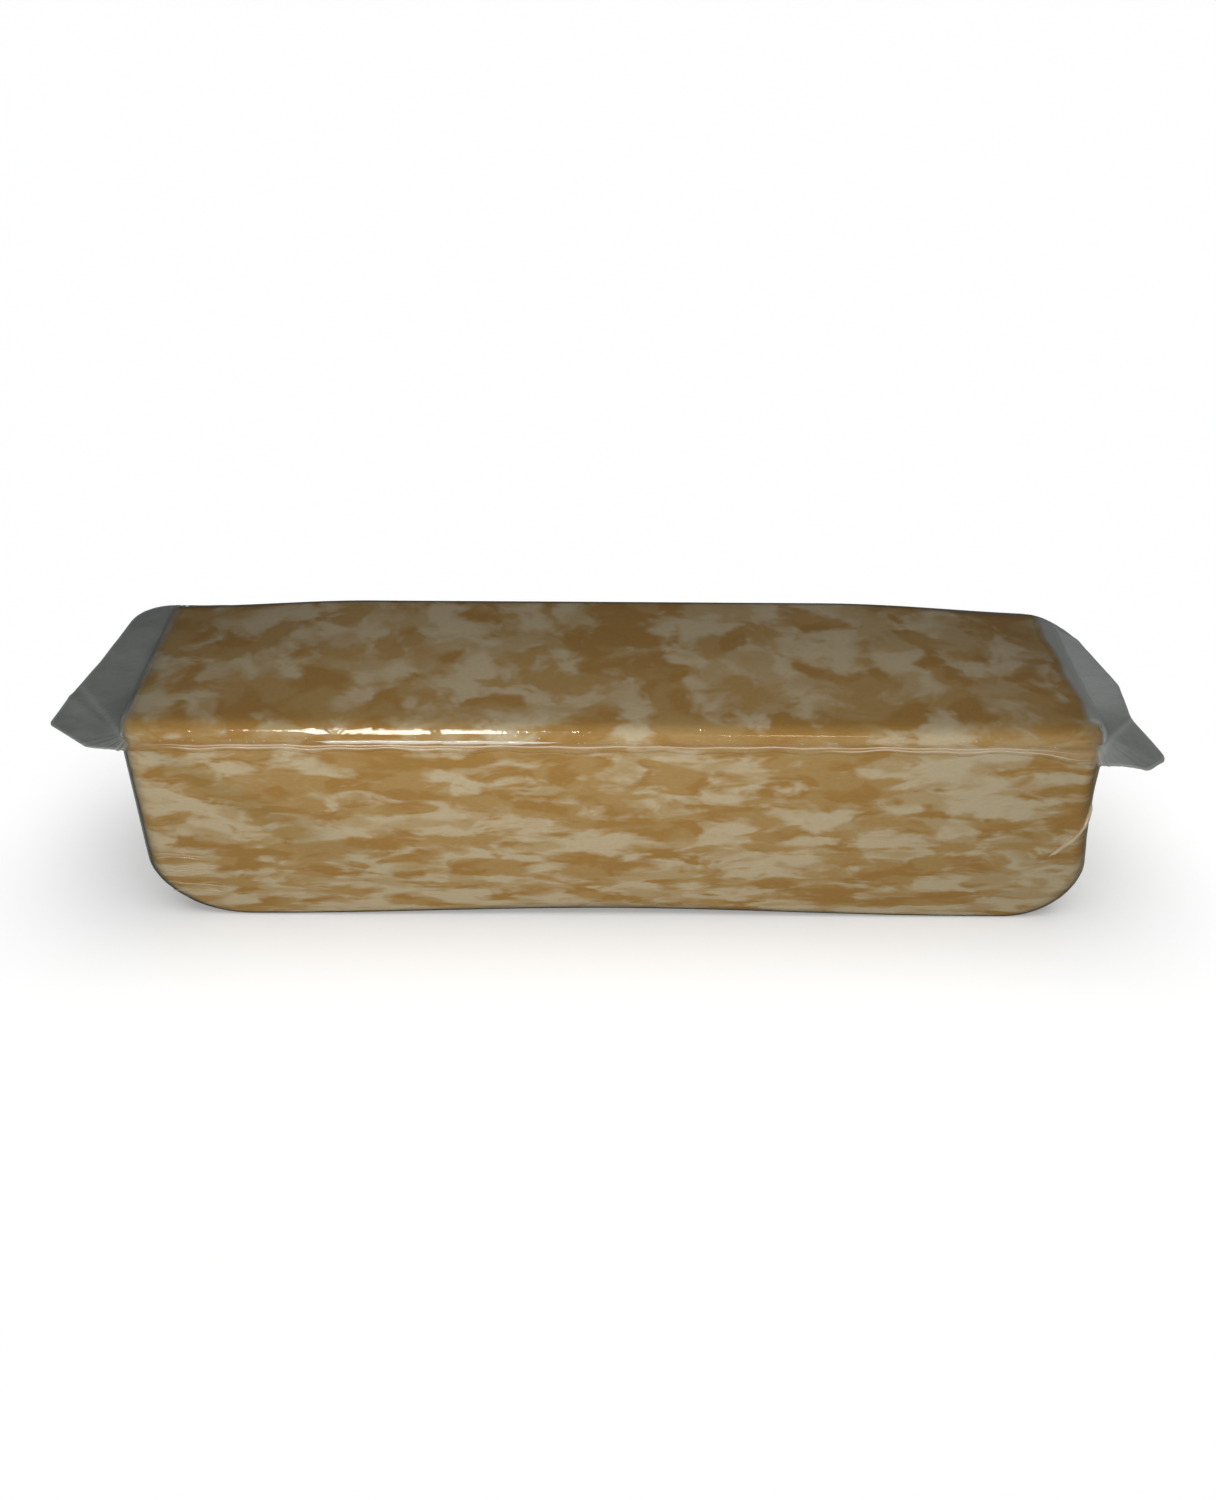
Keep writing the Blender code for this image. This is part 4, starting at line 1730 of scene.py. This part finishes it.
    def build(self) -> Item:
        """Build the sheet as a closed thin ring with the measures that its finish reads.

        Returns:
            The sheet, before its geometry tree runs.
        """
        points = []
        rows = []
        for outer in self.outline():
            inner, way = self.mouth(*outer)
            width = math.dist(inner, outer)
            for layer in (1, -1):
                for band in range(self.bands + 1):
                    share = (band / self.bands) ** self.band_power
                    x, y = mix(inner[0], outer[0], share), mix(inner[1], outer[1], share)
                    out = width * share
                    z = self.height(x, y, out, way)
                    points.append((x, y, z + layer * self.thickness / 2.0))
                    rows.append(self.measures(x, y, out, width))
        row = self.bands + 1
        stations = len(points) // (2 * row)
        faces = []
        for index in range(stations):
            here, there = 2 * row * index, 2 * row * ((index + 1) % stations)
            for band in range(self.bands):
                low, far = here + row + band, there + row + band
                faces.append((here + band, here + band + 1, there + band + 1, there + band))
                faces.append((low, far, far + 1, low + 1))
            last_here, last_there = here + self.bands, there + self.bands
            faces.append((here, there, there + row, here + row))
            faces.append((last_here, last_here + row, last_there + row, last_there))
        item = link_mesh("sealed_film_edge", np.array(points), faces)
        for name in rows[0]:
            write_attribute(item, name, np.array([measures[name] for measures in rows]))
        return item

    def dress(self, item: Item, sway: Tree, relief: Tree) -> None:
        """Args:
            item: The sheet.
            sway: The sway tree.
            relief: The film relief group.
        """
        run_tree(item, sway, {
            "Wave Height": self.pucker_height, "Wave Length": self.pucker_length, "Mask": "loose",
            "Seed": self.seed, "Material": self.finish.material(relief)})
        settle(item, "sealed_film_edge")
        declare(item, ("film_seal_flange",))


@dataclass(frozen=True)
class FoldFamily:
    """One family of folds: its paths in millimetres and the sizes of its folds in metres."""

    name: str
    paths: list
    radius: float
    jitter: float
    length: float
    seed: float
    finish: FoldFinish


@dataclass
class FilmFolds:
    """Folds of film: the welds, a painted highlight line along the front seam, a pleat and corner wrinkles.
    """

    form: PackForm
    edge: SealedEdge
    step: float = 0.0005
    flatness: float = 0.6
    weld: FoldFinish = FoldFinish("weld_line", (0.92, 0.76, 0.55), 0.7, 0.2)
    # Painted highlight: a near-white tube that stands for the second bright line just below the crown.
    glint: FoldFinish = FoldFinish("film_glint", (1.0, 0.96, 0.84), 0.95, 0.1)
    ridge: FoldFinish = FoldFinish("film_fold", (0.82, 0.73, 0.55), 0.75, 0.14)
    wrinkle: FoldFinish = FoldFinish("film_wrinkle", (0.74, 0.61, 0.42), 0.42, 0.12)
    seam_runs: tuple = ((-115.0, 116.0, 1.15), (-108.0, -30.0, 1.9), (48.0, 115.0, 2.0))
    seam_step: float = 2.0
    seam_lift: float = 0.2
    glint_runs: tuple = (
        (-72.0, -12.0, 0.2), (-69.5, -56.0, 0.32), (-54.5, -42.5, 0.32), (-41.0, -37.0, 0.32))
    glint_step: float = 1.5
    glint_lift: float = 0.35
    pleat: tuple = (
        (117.7, 34.0), (117.4, 31.4), (116.2, 28.4), (114.2, 25.3), (111.4, 22.8), (108.2, 19.4))
    pleat_lift: float = 0.15
    corner_rows: int = 8
    corner_points: int = 10
    corner_low: float = 7.5
    corner_spacing: float = 1.6
    corner_start: float = -113.5
    corner_lean: float = 3.2
    corner_stride: float = 1.5
    corner_lift: float = 0.02
    height_sway: tuple = (0.5, 2.3)
    start_sway: tuple = (1.4, 1.7)
    stride_sway: tuple = (0.3, 3.1)
    path_sway: tuple = (0.45, 0.5)

    def seam_paths(self) -> list:
        """Return the fine weld lines along the front strip.

        Returns:
            Lists of points in millimetres.
        """
        paths = []
        for start, end, out in self.seam_runs:
            steps = int((end - start) / self.seam_step)
            path = []
            for step in range(steps + 1):
                x = mix(start, end, step / steps)
                y = -(self.form.half_depth + out)
                path.append((x, y, self.edge.height(x, y, out, (0.0, -1.0)) + self.seam_lift))
            paths.append(path)
        return paths

    def glint_paths(self) -> list:
        """Return the paths of the painted highlight line where the lid film meets the seal.

        Returns:
            Lists of points in millimetres.
        """
        paths = []
        for start, end, out in self.glint_runs:
            steps = max(2, int((end - start) / self.glint_step))
            y, z = -(self.form.half_depth + out), self.form.seam_height + self.glint_lift
            paths.append([(mix(start, end, step / steps), y, z) for step in range(steps + 1)])
        return paths

    def pleat_paths(self) -> list:
        """Return the pleat in the pocket film at the lower right."""
        return [[self.form.front_point(x, z, self.pleat_lift) for x, z in self.pleat]]

    def corner_paths(self) -> list:
        """Return the fine wrinkles round the lower left corner.

        Returns:
            Lists of points in millimetres.
        """
        high, high_rate = self.height_sway
        along, along_rate = self.start_sway
        longer, longer_rate = self.stride_sway
        wave, wave_rate = self.path_sway
        paths = []
        for row in range(self.corner_rows):
            z = self.corner_low + self.corner_spacing * row + high * math.sin(high_rate * row)
            start = self.corner_start + self.corner_lean * (1.0 - row / self.corner_rows)
            start += along * math.sin(along_rate * row)
            stride = self.corner_stride + longer * math.sin(longer_rate * row)
            paths.append([
                self.form.front_point(
                    start + step * stride, z + wave * math.sin(wave_rate * step + row), self.corner_lift)
                for step in range(self.corner_points)])
        return paths

    def families(self) -> tuple:
        """Return the families of folds in the order in which they are built.

        Returns:
            The families.
        """
        return (
            FoldFamily("seam_weld_lines", self.seam_paths(), 0.00022, 0.0004, 0.012, 3.0, self.weld),
            # painted highlight line along the seam
            FoldFamily("seam_glint", self.glint_paths(), 0.00050, 0.0003, 0.006, 6.0, self.glint),
            FoldFamily("pocket_pleat", self.pleat_paths(), 0.0009, 0.0008, 0.006, 8.0, self.ridge),
            FoldFamily("corner_wrinkles", self.corner_paths(), 0.00018, 0.0008, 0.005, 2.0, self.wrinkle),
        )

    def build(self, folds: Tree) -> None:
        """Build, dress and declare each family of folds.

        Args:
            folds: The fold tree.
        """
        for family in self.families():
            item = draw_paths(family.name, family.paths)
            run_tree(item, folds, {
                "Step": self.step, "Fold Radius": family.radius, "Jitter": family.jitter,
                "Jitter Length": family.length, "Flatness": self.flatness, "Seed": family.seed,
                "Material": family.finish.material()})
            settle(item, family.name)
            declare(item)


@dataclass
class AirBeads:
    """Small air beads caught between the films beside the front seam, painted pale so that they also stand as
    painted highlights.
    """

    form: PackForm
    # Pale cream partly paints in the bright dots of highlight along the seam.
    finish: FoldFinish = FoldFinish("air_bead", (0.9, 0.86, 0.76), 0.6, 0.06)
    count: int = 46
    smallest: float = 0.00008
    largest: float = 0.00024
    scatter: float = 0.004
    seed: int = 11
    path_start: float = -108.0
    path_step: float = 6.0
    path_points: int = 37
    path_turn: float = 84.0
    path_lift: float = 0.03

    def build(self, beads: Tree) -> None:
        """Args:
            beads: The bead tree.
        """
        path = [
            self.form.crown_point(self.path_start + self.path_step * step, self.path_turn, self.path_lift)
            for step in range(self.path_points)]
        item = draw_paths("air_beads", [path])
        run_tree(item, beads, {
            "Count": self.count, "Smallest": self.smallest, "Largest": self.largest,
            "Scatter": self.scatter, "Seed": self.seed, "Material": self.finish.material()})
        settle(item, "air_beads")
        declare(item)


class LampUse(Enum):
    """What a lamp is there for: to light the pack, or to be mirrored in its film."""

    LIGHT = "light"
    MIRROR = "mirror"


@dataclass(frozen=True)
class SoftLamp:
    """A rectangular lamp that the camera doesn't see, in metres."""

    name: str
    use: LampUse
    place: Point
    aim: Point
    radiance: float
    size: tuple
    colour: Colour

    def stand(self, lit: bpy.types.Collection) -> None:
        """Place the lamp.

        Args:
            lit: The collection that says what the lamp lights.
        """
        width, height = self.size
        data = bpy.data.lights.new(self.name, "AREA")
        data.shape, data.size, data.size_y = "RECTANGLE", width, height
        data.energy, data.color = self.radiance * width * height * math.pi, self.colour
        item = bpy.data.objects.new(self.name, data)
        item.location = self.place
        item.rotation_euler = (Vector(self.aim) - Vector(self.place)).to_track_quat("-Z", "Y").to_euler()
        item.visible_camera = False
        item.visible_glossy = self.use is LampUse.MIRROR
        item.visible_diffuse = self.use is LampUse.LIGHT
        item.light_linking.receiver_collection = lit
        bpy.context.scene.collection.objects.link(item)


@dataclass
class Studio:
    """The plain pale floor, the soft lights and the camera."""

    floor_half: float = 6.0
    floor_drop: float = 0.0002
    floor_seen: Colour = (0.93, 0.935, 0.93)
    floor_bounce: Colour = (0.185, 0.183, 0.177)
    floor_light: float = 1.7
    floor_glow: float = 1.55
    floor_spread_deg: float = 70.0
    lamps: tuple = (
        SoftLamp("front_fill", LampUse.LIGHT, (-0.029, -0.277, 0.182), (-0.025, 0.0, 0.04),
                 6.72, (0.20, 0.12), (1.0, 0.975, 0.94)),
        SoftLamp("ceiling_soft", LampUse.LIGHT, (0.12, -0.06, 0.42), (0.02, 0.0, 0.05),
                 0.15, (0.3, 0.2), (1.0, 0.97, 0.93)),
        SoftLamp("right_soft", LampUse.LIGHT, (0.75, 0.05, 0.26), (0.1, 0.0, 0.04),
                 1.75, (0.4, 0.3), (1.0, 0.98, 0.96)),
        SoftLamp("front_strip", LampUse.MIRROR, (-0.148, -0.74, 0.525), (-0.0518, -0.03, 0.055),
                 30.0, (0.172, 0.11), (1.0, 0.93, 0.80)),
        SoftLamp("far_strip", LampUse.MIRROR, (0.141, -0.83, 0.345), (0.04935, -0.03, 0.055),
                 20.0, (0.096, 0.03), (1.0, 0.86, 0.60)),
    )
    sky: Colour = (0.032, 0.033, 0.035)
    sky_gloss: Colour = (0.065, 0.071, 0.08)
    backdrop: Colour = (0.93, 0.935, 0.935)
    camera_place: Point = (-0.00512, -0.37257, 0.27108)
    pitch_deg: float = 33.0
    yaw_deg: float = 0.644
    roll_deg: float = 0.665
    focal_px: float = 1703.0
    frame_height_px: float = 1500.0
    sensor_mm: float = 36.0
    nearest: float = 0.01
    farthest: float = 50.0

    def floor(self) -> Item:
        """Lay the floor just below the object, paler to the eye than to the light it sends back.

        Returns:
            The floor.
        """
        half = self.floor_half
        corners = [(x * half, y * half, -self.floor_drop) for x, y in ((-1, -1), (1, -1), (1, 1), (-1, 1))]
        mesh = bpy.data.meshes.new("floor")
        mesh.from_pydata(corners, [], [(0, 1, 2, 3)])
        item = bpy.data.objects.new("floor", mesh)
        bpy.context.scene.collection.objects.link(item)
        material, sheet, out = empty_material("pale_floor")
        seen = sheet.ray("Is Camera Ray")
        colour = sheet.blend(seen, rgba(self.floor_bounce), rgba(self.floor_seen))
        shader = sheet.add("ShaderNodeBsdfDiffuse", Color=colour)
        sheet.feed(out.inputs["Surface"], shader.outputs[0])
        mesh.materials.append(material)
        return item

    def lights(self, floor: Item) -> None:
        """Light the floor evenly, and the pack softly from the front and above.

        Args:
            floor: The floor, which has a light of its own.
        """
        floor_only = bpy.data.collections.new("floor_only")
        floor_only.objects.link(floor)
        suns = (("floor_wash", self.floor_light, True), ("floor_glow", self.floor_glow, False))
        for name, energy, shadow in suns:
            sun = bpy.data.lights.new(name, "SUN")
            sun.energy, sun.use_shadow = energy, shadow
            sun.angle = math.radians(self.floor_spread_deg)
            wash = bpy.data.objects.new(name, sun)
            wash.light_linking.receiver_collection = floor_only
            bpy.context.scene.collection.objects.link(wash)
        no_floor = bpy.data.collections.new("no_floor")
        no_floor.objects.link(floor)
        no_floor.collection_objects[0].light_linking.link_state = "EXCLUDE"
        for lamp in self.lamps:
            lamp.stand(no_floor)

    def world(self) -> None:
        """Set a dim sky, with a pale backdrop for the eye and a cooler one for reflections."""
        world = bpy.data.worlds.new("studio_sky")
        bpy.context.scene.world = world
        world.use_nodes = True
        world.node_tree.nodes.clear()
        sheet = Sheet(world.node_tree)
        colour = sheet.blend(sheet.ray("Is Glossy Ray"), rgba(self.sky), rgba(self.sky_gloss))
        colour = sheet.blend(sheet.ray("Is Camera Ray"), colour, rgba(self.backdrop))
        back = sheet.add("ShaderNodeBackground", Color=colour, Strength=1.0)
        out = sheet.add("ShaderNodeOutputWorld")
        sheet.feed(out.inputs["Surface"], back.outputs[0])

    def camera(self) -> None:
        """Stand the camera where the photograph was taken."""
        pitch, yaw, roll = (math.radians(a) for a in (self.pitch_deg, self.yaw_deg, self.roll_deg))
        ahead = Vector((math.sin(yaw) * math.cos(pitch), math.cos(yaw) * math.cos(pitch), -math.sin(pitch)))
        right = Vector((math.cos(yaw), -math.sin(yaw), 0.0))
        up = right.cross(ahead)
        turned_right = right * math.cos(roll) + up * math.sin(roll)
        turned_up = up * math.cos(roll) - right * math.sin(roll)
        data = bpy.data.cameras.new("photo_camera")
        data.sensor_fit, data.sensor_height = "VERTICAL", self.sensor_mm
        data.lens = self.focal_px / self.frame_height_px * self.sensor_mm
        data.clip_start, data.clip_end = self.nearest, self.farthest
        item = bpy.data.objects.new("photo_camera", data)
        axes = Matrix((turned_right, turned_up, -ahead)).transposed()
        item.matrix_world = Matrix.Translation(self.camera_place) @ axes.to_4x4()
        bpy.context.scene.collection.objects.link(item)
        bpy.context.scene.camera = item

    def build(self) -> None:
        """Set the whole stage."""
        self.world()
        self.lights(self.floor())
        self.camera()
        bpy.context.scene.view_settings.view_transform = "Standard"


def main() -> None:
    logging.basicConfig(level=logging.INFO, format="%(name)s: %(message)s")
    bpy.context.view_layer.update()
    Studio().build()
    form = PackForm()
    curds, relief = CurdPattern().group(), FilmRelief().group()
    sway, folds, beads = SwayTree().build(), FoldTree().build(), BeadTree().build()
    loaf = CheeseLoaf(form)
    loaf.dress(loaf.build(), curds)
    skin = FilmSkin(PackForm.for_film())
    skin.dress(skin.build(), sway, relief)
    edge = SealedEdge(form)
    edge.dress(edge.build(), sway, relief)
    FilmFolds(form, edge).build(folds)
    AirBeads(form).build(beads)


if __name__ == "__main__":
    main()
